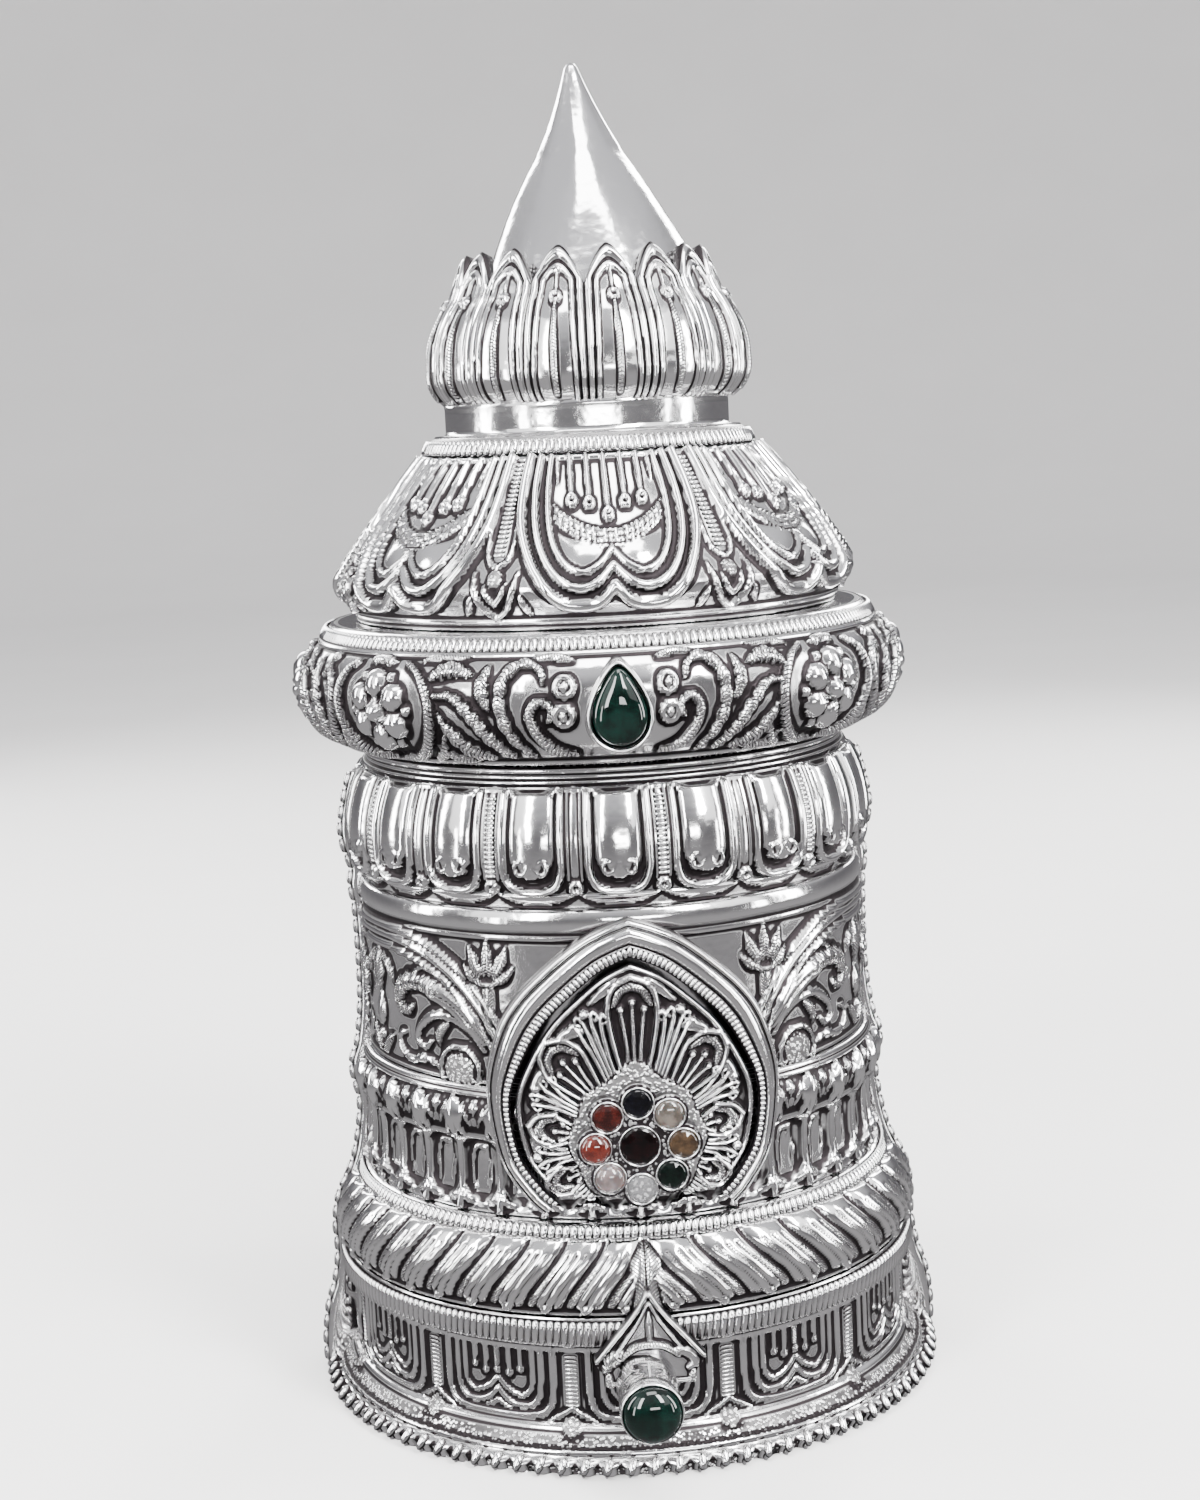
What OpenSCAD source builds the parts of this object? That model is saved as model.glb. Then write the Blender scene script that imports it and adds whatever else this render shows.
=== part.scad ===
// Temple crown: raised silver tiers stacked under a lotus finial, with a jewelled arch on the front.
// Millimetres. +Z is up, the front faces -Y, and the origin is the middle of the base rim's underside.

/* [Sheet and fit] */
// thickness of the raised sheet
sheet = 1.2; // [0.8:0.1:2]
// air left between two pieces that meet
seat = 0.25; // [0.1:0.05:0.5]
// height of the raised ornament above its ground
relief = 1.2; // [0.6:0.1:2]

/* [Base ring] */
// outer radius of the beaded rim that the crown stands on
rim_r = 75; // [60:0.5:90]
// height of the rounded bead at the edge of the rim
bead_h = 3.3; // [2:0.1:5]
// radius of the upright panel band
band_r = 67.6; // [55:0.1:74]
// height where the flange meets the panel band
band_z0 = 8.6; // [5:0.1:15]
// height of the top of the panel band
band_z1 = 27.6; // [20:0.1:35]
// radius of the cord ring that closes the base ring
base_cord_r = 69.4; // [60:0.1:74]
// height of the top of the base ring
base_top_z = 35.2; // [30:0.1:45]
// number of cartouches around the panel band
cartouches = 12; // [8:1:16]

/* [Leaf moulding] */
// radius of the upper edge of the leaf moulding
leaf_top_r = 65; // [55:0.1:72]
// height of the upper edge of the leaf moulding
leaf_top_z = 51.6; // [45:0.1:60]
// height of the cord ring above the leaves
leaf_cord_z = 55.2; // [50:0.1:62]
// how far the moulding swells between its edges
leaf_swell = 2.4; // [1:0.1:5]
// number of slanted leaves from the front to the back, round the right side
leaves_right = 19; // [12:1:26]
// number of slanted leaves from the front to the back, round the left side
leaves_left = 24; // [12:1:26]

/* [Fluted waist] */
// radius of the ridges between the flutes
flute_r = 61.2; // [50:0.1:70]
// height where the flutes end and the drop row begins
flute_top_z = 73.4; // [68:0.1:78]
// height of the top of the drop row
drop_top_z = 81.8; // [79:0.1:86]
// height of the top of the waist
waist_top_z = 84.6; // [82:0.1:90]
// number of flutes, and of leaf drops over them
flutes = 36; // [24:1:48]

/* [Drum] */
// radius of the drum wall
drum_r = 60.2; // [50:0.1:68]
// height of the underside of the plain band at the top of the drum
drum_band_z0 = 119.6; // [110:0.1:122]
// height of the top of that plain band
drum_band_z1 = 125.6; // [122:0.1:128]
// radius of the neck that carries the tongue collar
drum_neck_r = 58.8; // [50:0.1:62]

/* [Tongue collar] */
// radius of the collar at its lower edge
tongue_low_r = 60.8; // [55:0.1:66]
// height of the lower edge of the collar
tongue_low_z = 129.4; // [127:0.1:135]
// radius of the collar at the top of the tongues
tongue_top_r = 58.1; // [50:0.1:62]
// height of the top of the tongues
tongue_top_z = 152; // [145:0.1:156]
// number of tongues around the collar
tongues = 20; // [12:1:24]
// radius of the hollow moulding over the tongues
hollow_r = 57.1; // [50:0.1:60]

/* [Shoulder ring] */
// largest radius of the flowered shoulder
shoulder_r = 70.6; // [62:0.1:76]
// height of that largest radius
shoulder_z = 174.4; // [168:0.1:180]
// height of the underside of the shoulder ring
shoulder_low_z = 157.4; // [155:0.1:162]
// height of the top ledge of the shoulder ring
shoulder_top_z = 187.2; // [184:0.1:192]
// number of rosettes, the first and last of them either side of the teardrop stone
rosettes = 7; // [5:1:9]
// azimuth of the first rosette, to the right of the front
rosette_first = 43; // [30:1:60]
// azimuth of the last rosette, to the left of the front
rosette_last = 47; // [30:1:60]
// width of the teardrop stone
teardrop_w = 12.6; // [8:0.1:16]
// height of the teardrop stone
teardrop_h = 17.2; // [12:0.1:22]
// height of the middle of the teardrop stone
teardrop_z = 171.8; // [165:0.1:178]

/* [Petal dome] */
// radius of the dome at the foot of its petals
dome_r = 60.3; // [52:0.1:66]
// height of the foot of the petals
dome_foot_z = 196.6; // [192:0.1:200]
// radius of the dome at its top
dome_top_r = 39.3; // [34:0.1:46]
// height of the top of the dome
dome_top_z = 224.5; // [215:0.1:235]
// number of large petals around the dome
dome_petals = 7; // [6:1:12]

/* [Neck and lotus] */
// radius of the plain neck collar
neck_r = 33.8; // [28:0.1:38]
// height of the top of the neck collar
neck_top_z = 237.2; // [230:0.1:245]
// largest radius of the lotus cup
lotus_r = 36.6; // [30:0.1:42]
// height of the largest radius of the lotus cup
lotus_z = 245; // [240:0.1:250]
// height of the tips of the lotus petals
lotus_tip_z = 270.8; // [262:0.1:278]
// number of lotus petals
lotus_petals = 16; // [10:1:20]
// azimuth of the lotus petal nearest to the front
lotus_first = 7.6; // [-11:0.1:11]
// how far the lotus cup sits to the right of the crown's axis
lotus_shift = 1; // [0:0.1:2]
// height of the tip of the cone
tip_z = 314.6; // [290:0.1:330]
// how far the foot of the cone sits to the right of its tip
cone_lean = 2.6; // [0:0.1:4]

/* [Front arch] */
// half width of the arch at its widest
arch_half_w = 32.6; // [26:0.1:38]
// height of the point of the arch
arch_top_z = 124; // [112:0.1:125]
// height of the feet of the arch
arch_foot_z = 57.4; // [55.5:0.1:64]
// width of the arch frame over the fan
arch_frame_w = 8; // [4:0.1:9]
// width of the arch frame at its feet
arch_foot_w = 4.6; // [3:0.1:7]
// dark gap between the arch frame and the fan panel
arch_gap = 1.2; // [0.8:0.1:3]
// radius of the outer face of the arch frame
arch_r = 67; // [65:0.1:70]
// radius of the ground of the fan panel
fan_r = 65; // [64.6:0.1:66]

/* [Nine stones] */
// height of the middle of the stone cluster
cluster_z = 74.4; // [70:0.1:80]
// radius of the circle that the eight small stones stand on
cluster_r = 9.7; // [8:0.1:12]
// diameter of each of the eight small stones
small_stone_d = 6.5; // [5:0.1:8]
// diameter of the middle stone
middle_stone_d = 8.6; // [7:0.1:10]
// distance of the face of the stone plate from the crown's axis
plate_face_r = 70; // [68.5:0.1:72]

/* [Base jewel] */
// height of the axis of the jewel post
post_z = 21.2; // [14:0.1:24]
// how far the jewel post stands to the left of the middle
post_shift = 1.2; // [0:0.1:2]
// diameter of the jewel post
post_d = 13.4; // [9:0.1:14]
// diameter of the bezel at the end of the post
bezel_d = 13.9; // [11:0.1:17]
// distance of the end of the bezel from the crown's axis
bezel_r = 90; // [76:0.1:96]
// diameter of the round stone
base_stone_d = 12.6; // [9:0.1:15]
// height of the point of the leaf plaque behind the post
plaque_top_z = 43; // [36:0.1:48]

/* [Side strips] */
// width of the strips that cover the two side seams
strip_w = 4; // [3:0.1:6]
// height where each strip ends, under the shoulder
strip_top_z = 151; // [120:0.1:156]

/* [Hidden] */
$fn = 96;
silver = [0.83, 0.83, 0.84];
dark_red = [0.16, 0.02, 0.03];
dark_blue = [0.04, 0.05, 0.12];
dark_green = [0.02, 0.16, 0.10];
milky_grey = [0.60, 0.57, 0.54];
warm_brown = [0.36, 0.20, 0.06];
clear_white = [0.85, 0.87, 0.90];
pearl_white = [0.90, 0.86, 0.84];
coral_red = [0.62, 0.10, 0.05];

// width left free of ornament where a side strip lies
seam_slot_w = strip_w + 2;
// angle from one flute to the next
drop_pitch = 360 / flutes;
// radius of a small stone, and the angle from one to the next around the cluster
ring_stone_r = small_stone_d / 2;
small_ring_step = 45;
// how deep the cluster stones stand in the plate, and how high the bevel of a cut stone is
stone_sink = 1.4;
stone_rise = 1.1;
// azimuths of the middles of the side arches of the drum, either side of the front
side_arches = [68.25, 142.75];
// azimuths of the tongue and of the dome petal that are nearest to the front
tongue_first = -1;
dome_petal_first = 1;
// heights between which the large petals of the dome run
dome_petal_low = dome_foot_z - 1;
dome_petal_high = dome_top_z - 3;
// height and radius where the cone leaves the lotus cup
cone_foot_z = 263;
cone_foot_r = 26.4;

// point between a and b
function between(a, b, t) = a + (b - a) * t;

// unit normal of the line a to b, on its right
function right_of(a, b) = [b[1] - a[1], a[0] - b[0]] / norm(b - a);

// curve from a to b that swells to the right of the line by depth
function bow(a, b, depth, steps = 5) = [
    for (i = [0:steps])
        between(a, b, i / steps) + right_of(a, b) * 4 * depth * (i / steps) * (1 - i / steps)
];

// the same path without points that fall on the one before
function cleaned(path) = [
    for (i = [0:len(path) - 1])
        if (i == 0 || norm(path[i] - path[max(i - 1, 0)]) > 0.02) path[i]
];

// normal of a path at point i, long enough to keep both neighbours parallel
function mitre(path, i) =
    let (
        last = len(path) - 1,
        before = right_of(path[max(i - 1, 0)], path[max(i, 1)]),
        after = right_of(path[min(i, last - 1)], path[min(i + 1, last)])
    )
    (before + after) / (1 + before * after);

// open path moved to its right by a distance
function shifted(path, by) = [for (i = [0:len(path) - 1]) path[i] + mitre(path, i) * by];

// the same list from its end to its start
function reversed(list) = [for (i = [len(list) - 1:-1:0]) list[i]];

// closed outline between two shifts of one path
function layer(path, inner, outer) = concat(shifted(path, outer), reversed(shifted(path, inner)));

// half outline with its mirror image to the left; a point on the middle line stays single
function mirrored(half) = concat(half, [for (p = reversed(half)) if (p[0] > 0.01) [-p[0], p[1]]]);

// profiles of the tiers as radius and height, from the bottom up

base_path = cleaned(concat(
    [[rim_r - 0.9, 0]],
    bow([rim_r - 0.9, 0.4], [rim_r - 1.4, bead_h], 1, 6),
    [[rim_r - 2.4, bead_h + 0.3], [rim_r - 3.1, bead_h + 2], [band_r + 1.2, band_z0]],
    [[band_r, band_z0 + 0.6], [band_r, band_z1]],
    [[base_cord_r - 0.4, band_z1 + 0.6]],
    bow([base_cord_r - 0.2, band_z1 + 1.2], [base_cord_r, base_top_z - 0.4], 0.5, 4),
    [[base_cord_r - 3.4, base_top_z]]
));

leaf_path = cleaned(bow([base_cord_r - 0.4, base_top_z + seat], [leaf_top_r, leaf_top_z], leaf_swell, 5));

leaf_cord_path = cleaned(concat(
    bow([leaf_top_r, leaf_top_z], [leaf_top_r - 1.7, leaf_cord_z - 0.3], 0.5, 2),
    [[leaf_top_r - 4.4, leaf_cord_z]]
));

waist_path = cleaned(concat(
    [[flute_r + 0.8, leaf_cord_z + seat], [flute_r + 0.2, leaf_cord_z + 3]],
    bow([flute_r - 0.6, leaf_cord_z + 4], [flute_r - 0.6, flute_top_z], -0.5, 2)
));

drop_path = cleaned(bow([flute_r + 0.6, flute_top_z + 0.3], [flute_r + 0.7, drop_top_z], 1.3, 4));

waist_cap_path = cleaned(concat(
    bow([flute_r + 0.2, drop_top_z + 0.3], [flute_r + 0.3, waist_top_z - 0.3], 0.6, 2),
    [[flute_r - 2.6, waist_top_z]]
));

drum_wall_path = [[drum_r, waist_top_z + seat], [drum_r, drum_band_z0]];

drum_band_path = cleaned(concat(
    bow([drum_r + 0.2, drum_band_z0 + 0.3], [drum_r + 0.2, drum_band_z1 - 0.2], 0.8, 4),
    [[drum_neck_r, drum_band_z1 + 0.2], [drum_neck_r, tongue_low_z - 0.8]]
));

// lip that reaches up inside the tongue collar
drum_lip = [[drum_neck_r + 1, tongue_low_z + 2.4]];

tongue_path = cleaned(bow([tongue_low_r, tongue_low_z], [tongue_top_r, tongue_top_z], 2.2, 4));

hollow_path = cleaned(concat(
    bow([hollow_r + 0.2, tongue_top_z + 0.4], [hollow_r, tongue_top_z + 2.8], 0.6, 2),
    bow([hollow_r, tongue_top_z + 2.8], [hollow_r, tongue_top_z + 4.6], 0.4, 2),
    [[hollow_r - 0.2, shoulder_low_z - seat]]
));

shoulder_low_path = cleaned(concat(
    [[hollow_r - 1.4, shoulder_low_z], [hollow_r + 2.6, shoulder_low_z + 0.5]],
    bow([hollow_r + 3, shoulder_low_z + 0.8], [shoulder_r, shoulder_z], 3.4, 5)
));

shoulder_high_path = cleaned(bow([shoulder_r, shoulder_z], [shoulder_r - 4.6, shoulder_top_z - 4.2], 1.3, 3));

shoulder_cord_path = cleaned(concat(
    bow([shoulder_r - 4.6, shoulder_top_z - 4.1], [shoulder_r - 7, shoulder_top_z - 0.6], 0.5, 2),
    [[shoulder_r - 7.8, shoulder_top_z - 0.2], [dome_r - 3.8, shoulder_top_z]]
));

dome_foot_path = cleaned(concat(
    [[dome_r - 2.9, shoulder_top_z + seat], [dome_r - 2.7, shoulder_top_z + 2.4]],
    [[dome_r - 1.5, shoulder_top_z + 5.4]],
    bow([dome_r - 1.3, dome_foot_z - 3.8], [dome_r, dome_foot_z], 0.5, 2)
));

dome_path = cleaned(bow([dome_r, dome_foot_z], [dome_top_r, dome_top_z], 0.6, 6));

neck_path = cleaned(concat(
    bow([dome_top_r - 0.2, dome_top_z + 0.4], [dome_top_r - 2.4, dome_top_z + 4.5], 0.5, 4),
    [[neck_r + 0.6, dome_top_z + 5.1], [neck_r, dome_top_z + 5.7]],
    [[neck_r, neck_top_z - 0.7], [neck_r - 0.6, neck_top_z - 0.1], [24.5, neck_top_z]]
));

lotus_path = cleaned(concat(
    bow([neck_r - 0.8, neck_top_z + seat], [lotus_r, lotus_z], 1.4, 3),
    bow([lotus_r, lotus_z], [lotus_r - 5.3, lotus_z + 14.9], 1.4, 3),
    [[lotus_r - 10.1, lotus_tip_z]]
));

cone_path = concat(
    [[cone_foot_r, neck_top_z - 4], [cone_foot_r, cone_foot_z - 3]],
    bow([cone_foot_r, cone_foot_z], [10.2, tip_z - 21], 0.8, 6),
    bow([9.8, tip_z - 20], [1.6, tip_z - 1.2], -0.4, 5),
    [[1.1, tip_z - 0.3], [0.02, tip_z]]
);

// the whole outer wall, for pieces that lie against it
body_path = cleaned(concat(
    base_path, leaf_path, leaf_cord_path, waist_path, drop_path, waist_cap_path,
    drum_wall_path, drum_band_path, tongue_path, hollow_path
));

// building blocks

module turned(outline) rotate_extrude() polygon(outline);

module shell(path) turned(layer(path, -sheet, 0));

module around(count, first = 0) {
    for (i = [0:count - 1])
        rotate([0, 0, first + i * 360 / count]) children();
}

// flat outline, drawn as width and height, pushed outwards from the front between two radii
module outward(from, to) {
    translate([0, -from, 0]) rotate([90, 0, 0])
        linear_extrude(height = to - from) children();
}

// part of a turned outline, as wide as an angle each side of the front
module turned_front(outline, half_angle) {
    rotate([0, 0, -90 - half_angle]) rotate_extrude(angle = 2 * half_angle) polygon(outline);
}

// children at the front, cut to a thin raised layer over a profile
module raised(path, height = relief, half_angle = 32) {
    intersection() {
        turned_front(layer(path, -sheet / 2, height), half_angle);
        children();
    }
}

// slots at both sides, where the side strips lie
module seam_slots(top) {
    translate([-100, -seam_slot_w / 2, -1]) cube([200, seam_slot_w, top + 1]);
}

// everything inside the outer wall plus the seat gap
module inside_of_body(gap) {
    path = shifted(body_path, gap);
    turned_front(concat([[40, -1], [path[0][0], -1]], path, [[40, path[len(path) - 1][1]]]), 45);
}

// flat outlines, drawn as width and height

module outline_ring(points, width) {
    difference() {
        polygon(points);
        polygon(shifted_ring(points, -width));
    }
}

// closed outline moved inwards by a negative distance
function shifted_ring(points, by) =
    let (count = len(points))
    [
        for (i = [0:count - 1])
            let (
                before = right_of(points[(i + count - 1) % count], points[i]),
                after = right_of(points[i], points[(i + 1) % count])
            )
            points[i] - (before + after) / (1 + before * after) * by
    ];

// pointed petal from a foot up to a tip, widest low down
function petal(half_w, foot, tip, steps = 6) = mirrored([
    for (i = [0:steps])
        let (t = 1 - i / steps)
        [half_w * pow(max(cos(90 * pow(t, 1.5)), 0), 0.8), between(foot, tip, t)]
]);

// flat-topped tongue with a round lower end
function tongue(half_w, top, low, steps = 4) = mirrored(concat(
    [[half_w, top]],
    [for (i = [0:steps - 1]) [half_w * cos(90 * i / steps), low + half_w * (1 - sin(90 * i / steps))]],
    [[0, low]]
));

// flat-topped shield whose lower end has two round lobes and a point between them
function shield(half_w, top, low, steps = 5) =
    let (lobe = half_w / 2)
    mirrored(concat(
        [[half_w, top]],
        [
            for (i = [0:steps])
                [lobe + lobe * cos(150 * i / steps), low + lobe - lobe * 1.1 * sin(150 * i / steps)]
        ],
        [[0, low + lobe]]
    ));

// straight pin that hangs from a top edge
function pin(top, low) = [[-0.9, top], [0.9, top], [0.5, low], [-0.5, low]];

// pointed leaf drop, widest near its top
function leaf_drop(half_w, top, low) =
    let (widest = between(low, top, 0.7))
    [[0, top], [half_w, widest], [0, low], [-half_w, widest]];

// curved leaf that leans to the right as it goes down
function slanted_leaf(width, height, lean, steps = 5) = concat(
    [
        for (i = [0:steps])
            let (t = i / steps)
            [lean * pow(t, 1.6) + width / 2 * sin(180 * pow(t, 0.8)), -height * t]
    ],
    [
        for (i = [steps - 1:-1:1])
            let (t = i / steps)
            [lean * pow(t, 1.6) - width / 2 * sin(180 * pow(t, 0.8)), -height * t]
    ]
);

// pear outline with its point up, centred on its own middle
function pear(width, height, steps = 20) = [
    for (i = [0:steps - 1])
        let (a = -90 + 360 * i / steps, up = (1 + sin(a)) / 2)
        [width / 2 * cos(a) * (1.12 - 0.62 * pow(up, 1.5)), height / 2 * sin(a)]
];

// right half of the front arch as width and height, from its point down to its foot
arch_half = [
    [0, arch_top_z],
    [arch_half_w * 0.17, arch_top_z - 1.9],
    [arch_half_w * 0.36, arch_top_z - 5.1],
    [arch_half_w * 0.58, arch_top_z - 11],
    [arch_half_w * 0.78, arch_top_z - 17.7],
    [arch_half_w * 0.91, arch_top_z - 24.9],
    [arch_half_w, arch_top_z - 36],
    [arch_half_w * 0.99, arch_top_z - 46],
    [arch_half_w * 0.92, arch_top_z - 56],
    [arch_half_w * 0.76, arch_foot_z + 3],
    [arch_half_w * 0.66, arch_foot_z]
];

// width of the arch frame at a height: broad over the fan, narrow beside the stones
function frame_width(z) =
    let (t = min(max((z - cluster_z - 2) / 28, 0), 1))
    between(arch_foot_w, arch_frame_w, t * t * (3 - 2 * t));

// right half of the arch moved inwards by the width of its frame and some more
function inside_frame(more) = concat(
    [[0, arch_top_z - (arch_frame_w + more) * 1.06]],
    [
        for (i = [1:len(arch_half) - 1])
            arch_half[i] + mitre(arch_half, i) * (frame_width(arch_half[i][1]) + more)
    ]
);

// tiers

module base_ring() {
    ground = [[band_r, band_z0 + 0.7], [band_r, band_z1 - 0.1]];
    color(silver) union() {
        shell(base_path);
        difference() {
            union() {
                around(cartouches) raised(ground) outward(60, 72) {
                    outline_ring(shield(13.8, band_z1 - 1.2, band_z0 + 1.6), 1.4);
                    for (x = [-7:3.5:7])
                        translate([x, 0]) polygon(pin(band_z1 - 3.4, band_z1 - 10 + abs(x) / 2));
                }
                around(cartouches, 180 / cartouches) raised(ground) outward(60, 72)
                    translate([-1.7, band_z0 + 1]) square([3.4, band_z1 - band_z0 - 1.6]);
            }
            seam_slots(band_z1);
        }
    }
}

module leaf_moulding() {
    color(silver) union() {
        shell(cleaned(concat(leaf_path, leaf_cord_path)));
        difference() {
            union() {
                leaf_row(leaves_right);
                mirror([1, 0, 0]) leaf_row(leaves_left);
            }
            seam_slots(leaf_top_z);
        }
    }
}

// slanted leaves from the front to the back, round the right side
module leaf_row(count) {
    step = 180 / count;
    pitch = leaf_top_r * step * PI / 180;
    for (i = [0:count - 1])
        rotate([0, 0, (i + 0.45) * step])
            raised(leaf_path, relief, 12) outward(58, 74)
                translate([-2, leaf_top_z - 0.6]) polygon(slanted_leaf(pitch * 0.58, 15, pitch * 0.7));
}

module fluted_waist() {
    foot = leaf_cord_z + 4.2;
    top = flute_top_z - 0.2;
    ground = [[flute_r - 0.6, foot - 0.2], [flute_r - 1.1, (foot + top) / 2], [flute_r - 0.6, top + 0.2]];
    color(silver) union() {
        shell(cleaned(concat(waist_path, drop_path, waist_cap_path)));
        difference() {
            union() {
                around(flutes) raised(ground, relief, 5) outward(54, 70)
                    polygon(mirrored([[0.9, top], [1.1, foot + 5], [2.4, foot]]));
                around(flutes, drop_pitch / 2) raised(drop_path, relief, 5) outward(54, 70)
                    polygon(leaf_drop(2.4, drop_top_z - 0.3, flute_top_z + 0.6));
            }
            seam_slots(drop_top_z);
            outward(50, 75) polygon(shifted_ring(mirrored(arch_half), seat));
        }
    }
}

module drum() {
    half_angle = 35.5;
    field_top = drum_band_z0 - 1;
    field_low = waist_top_z + 1.4;
    color(silver) union() {
        shell(cleaned(concat(drum_wall_path, drum_band_path, drum_lip)));
        difference() {
            for (middle = side_arches, side = [-1, 1])
                rotate([0, 0, side * middle])
                    raised([[drum_r, field_low - 0.8], [drum_r, field_top + 0.8]], relief, half_angle)
                        outward(46, 66) drum_field(field_low, field_top);
            seam_slots(field_top);
        }
    }
}

// one side arch with a leaf scroll under it
module drum_field(low, high) {
    half_w = 34;
    mid = (low + high) / 2;
    outline_ring(petal(half_w, low, high, 8), 2);
    for (side = [0, 1])
        mirror([side, 0]) {
            translate([half_w * 0.5, mid - 3]) outline_ring(petal(3.4, -6, 7), 1.1);
            translate([4, high - 8]) polygon(slanted_leaf(3.6, 19, 9));
        }
}

module tongue_collar() {
    tongue_half_w = 6.9;
    color(silver) union() {
        shell(cleaned(concat(tongue_path, hollow_path)));
        difference() {
            union() {
                around(tongues, tongue_first) raised(tongue_path, relief, 8.6) outward(54, 68) {
                    outline_ring(tongue(tongue_half_w, tongue_top_z - 1, tongue_low_z + 0.6), 1.4);
                    polygon(tongue(tongue_half_w - 2.3, tongue_top_z - 4, tongue_low_z + 3.4));
                }
                around(tongues, tongue_first + 180 / tongues) raised(tongue_path, relief, 5) outward(54, 68) {
                    translate([-1.5, tongue_low_z + 4.4]) square([3, tongue_top_z - tongue_low_z - 5.8]);
                    translate([0, tongue_low_z + 2.2]) circle(r = 1.7);
                }
            }
            seam_slots(strip_top_z);
        }
    }
}

module shoulder_ring() {
    ground = cleaned(concat(shoulder_low_path, shoulder_high_path));
    gap = (360 - rosette_first - rosette_last) / (rosettes - 1);
    color(silver) difference() {
        union() {
            shell(cleaned(concat(ground, shoulder_cord_path)));
            for (i = [0:rosettes - 1])
                rotate([0, 0, rosette_first + i * gap]) rosette();
            for (i = [-1:rosettes - 1])
                rotate([0, 0, rosette_first + (i + 0.5) * gap])
                    raised(ground, relief, 20) outward(56, 76) shoulder_spray();
            outward(shoulder_r - 5, shoulder_r + 2.8)
                translate([0, teardrop_z]) polygon(pear(teardrop_w + 2.4, teardrop_h + 2.6));
        }
        outward(shoulder_r + 0.9, shoulder_r + 6)
            translate([0, teardrop_z]) polygon(pear(teardrop_w + 0.3, teardrop_h + 0.3));
    }
}

// six round petals about a boss, standing on the shoulder at the front
module rosette() {
    petal_count = 6;
    translate([0, -shoulder_r + 1.2, shoulder_z - 2.4]) {
        rotate([90, 0, 0]) cylinder(r = 2.6, h = 2.8, $fn = 32);
        for (i = [0:petal_count - 1])
            rotate([0, i * 360 / petal_count, 0]) translate([5.8, 0.5, 0]) sphere(r = 2.9, $fn = 32);
    }
}

// leaf spray between two rosettes
module shoulder_spray() {
    for (side = [0, 1])
        mirror([side, 0]) {
            translate([2.6, shoulder_z + 4]) polygon(slanted_leaf(3.6, 14, 3));
            translate([8.4, shoulder_z + 3]) polygon(slanted_leaf(3.2, 12, 4));
        }
}

module petal_dome() {
    half_w = 20;
    low = dome_petal_low;
    high = dome_petal_high;
    color(silver) union() {
        shell(cleaned(concat(dome_foot_path, dome_path)));
        around(dome_petals, dome_petal_first) raised(dome_path, relief, 25.6) outward(30, 66) {
            dome_cartouche(half_w, low, high, 1.8);
            for (x = [-7:3.5:7])
                translate([x, 0]) polygon(pin(high - 3, high - 10 + abs(x) / 2));
        }
        around(dome_petals, dome_petal_first + 180 / dome_petals)
            raised(dome_path, relief, 5) outward(30, 66)
                polygon(mirrored([[1.4, high], [2.1, low + 5], [0, low + 2]]));
    }
}

// border of one dome petal, which narrows towards the top as the dome does
module dome_cartouche(half_w, low, high, width) {
    points = [
        for (p = shield(half_w, high, low))
            [p[0] * (1 - 0.36 * (p[1] - low) / (high - low)), p[1]]
    ];
    outline_ring(points, width);
}

module neck_collar() {
    color(silver) shell(neck_path);
}

module lotus_cup() {
    petal_half_w = 6.2;
    foot = neck_top_z + 1.6;
    color(silver) translate([lotus_shift, 0, 0]) difference() {
        union() {
            shell(lotus_path);
            around(lotus_petals, lotus_first) raised(lotus_path, 1, 22) outward(18, 42) {
                outline_ring(petal(petal_half_w, foot, lotus_tip_z - 0.8), 1.2);
                polygon(leaf_drop(0.9, lotus_tip_z - 9, foot + 3));
            }
        }
        around(lotus_petals, lotus_first + 180 / lotus_petals) outward(15, 45)
            polygon([
                [0, lotus_tip_z - 9.6], [1.5, lotus_tip_z - 6.6], [2.9, lotus_tip_z - 3.4],
                [5.1, lotus_tip_z - 0.2], [5.1, lotus_tip_z + 3], [-5.1, lotus_tip_z + 3],
                [-5.1, lotus_tip_z - 0.2], [-2.9, lotus_tip_z - 3.4], [-1.5, lotus_tip_z - 6.6]
            ]);
    }
}

module cone_finial() {
    lean_angle = atan(cone_lean / (tip_z - cone_foot_z));
    color(silver) difference() {
        translate([0, 0, tip_z]) rotate([0, -lean_angle, 0]) translate([0, 0, -tip_z])
            turned(concat([[cone_foot_r - sheet, neck_top_z - 4]], cone_path, [
                [0.02, tip_z - 5], [cone_foot_r - sheet, cone_foot_z - 0.6]
            ]));
        translate([-60, -60, neck_top_z - 20]) cube([120, 120, 20 + seat]);
    }
}

// front ornament and stones

module arch_frame() {
    inner = inside_frame(0);
    color(silver) difference() {
        intersection() {
            turned([[50, arch_foot_z - 2], [arch_r, arch_foot_z - 2], [arch_r, 128], [50, 128]]);
            outward(50, 70) difference() {
                polygon(mirrored(arch_half));
                polygon(mirrored(concat(inner, [[inner[len(inner) - 1][0], arch_foot_z - 5]])));
            }
        }
        inside_of_body(seat);
    }
}

module fan_panel() {
    half = inside_frame(arch_gap);
    outline = mirrored([for (i = [0:len(half) - 2]) half[i]]);
    panel = [[fan_r, arch_foot_z], [fan_r, arch_top_z]];
    color(silver) union() {
        intersection() {
            turned(layer(panel, -sheet, 0));
            outward(50, 70) polygon(outline);
        }
        raised(panel, 1) outward(50, 70) {
            difference() {
                outline_ring(outline, 1.3);
                plate_outline(seat);
            }
            for (a = [-100:20:100])
                translate([0, cluster_z]) rotate(-a) polygon(petal(3, 15.2, fan_reach(a)));
        }
    }
}

// how far a fan leaf runs from the middle of the cluster
function fan_reach(a) = 21.5 + 12 * pow(max(cos(a), 0), 2);

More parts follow.
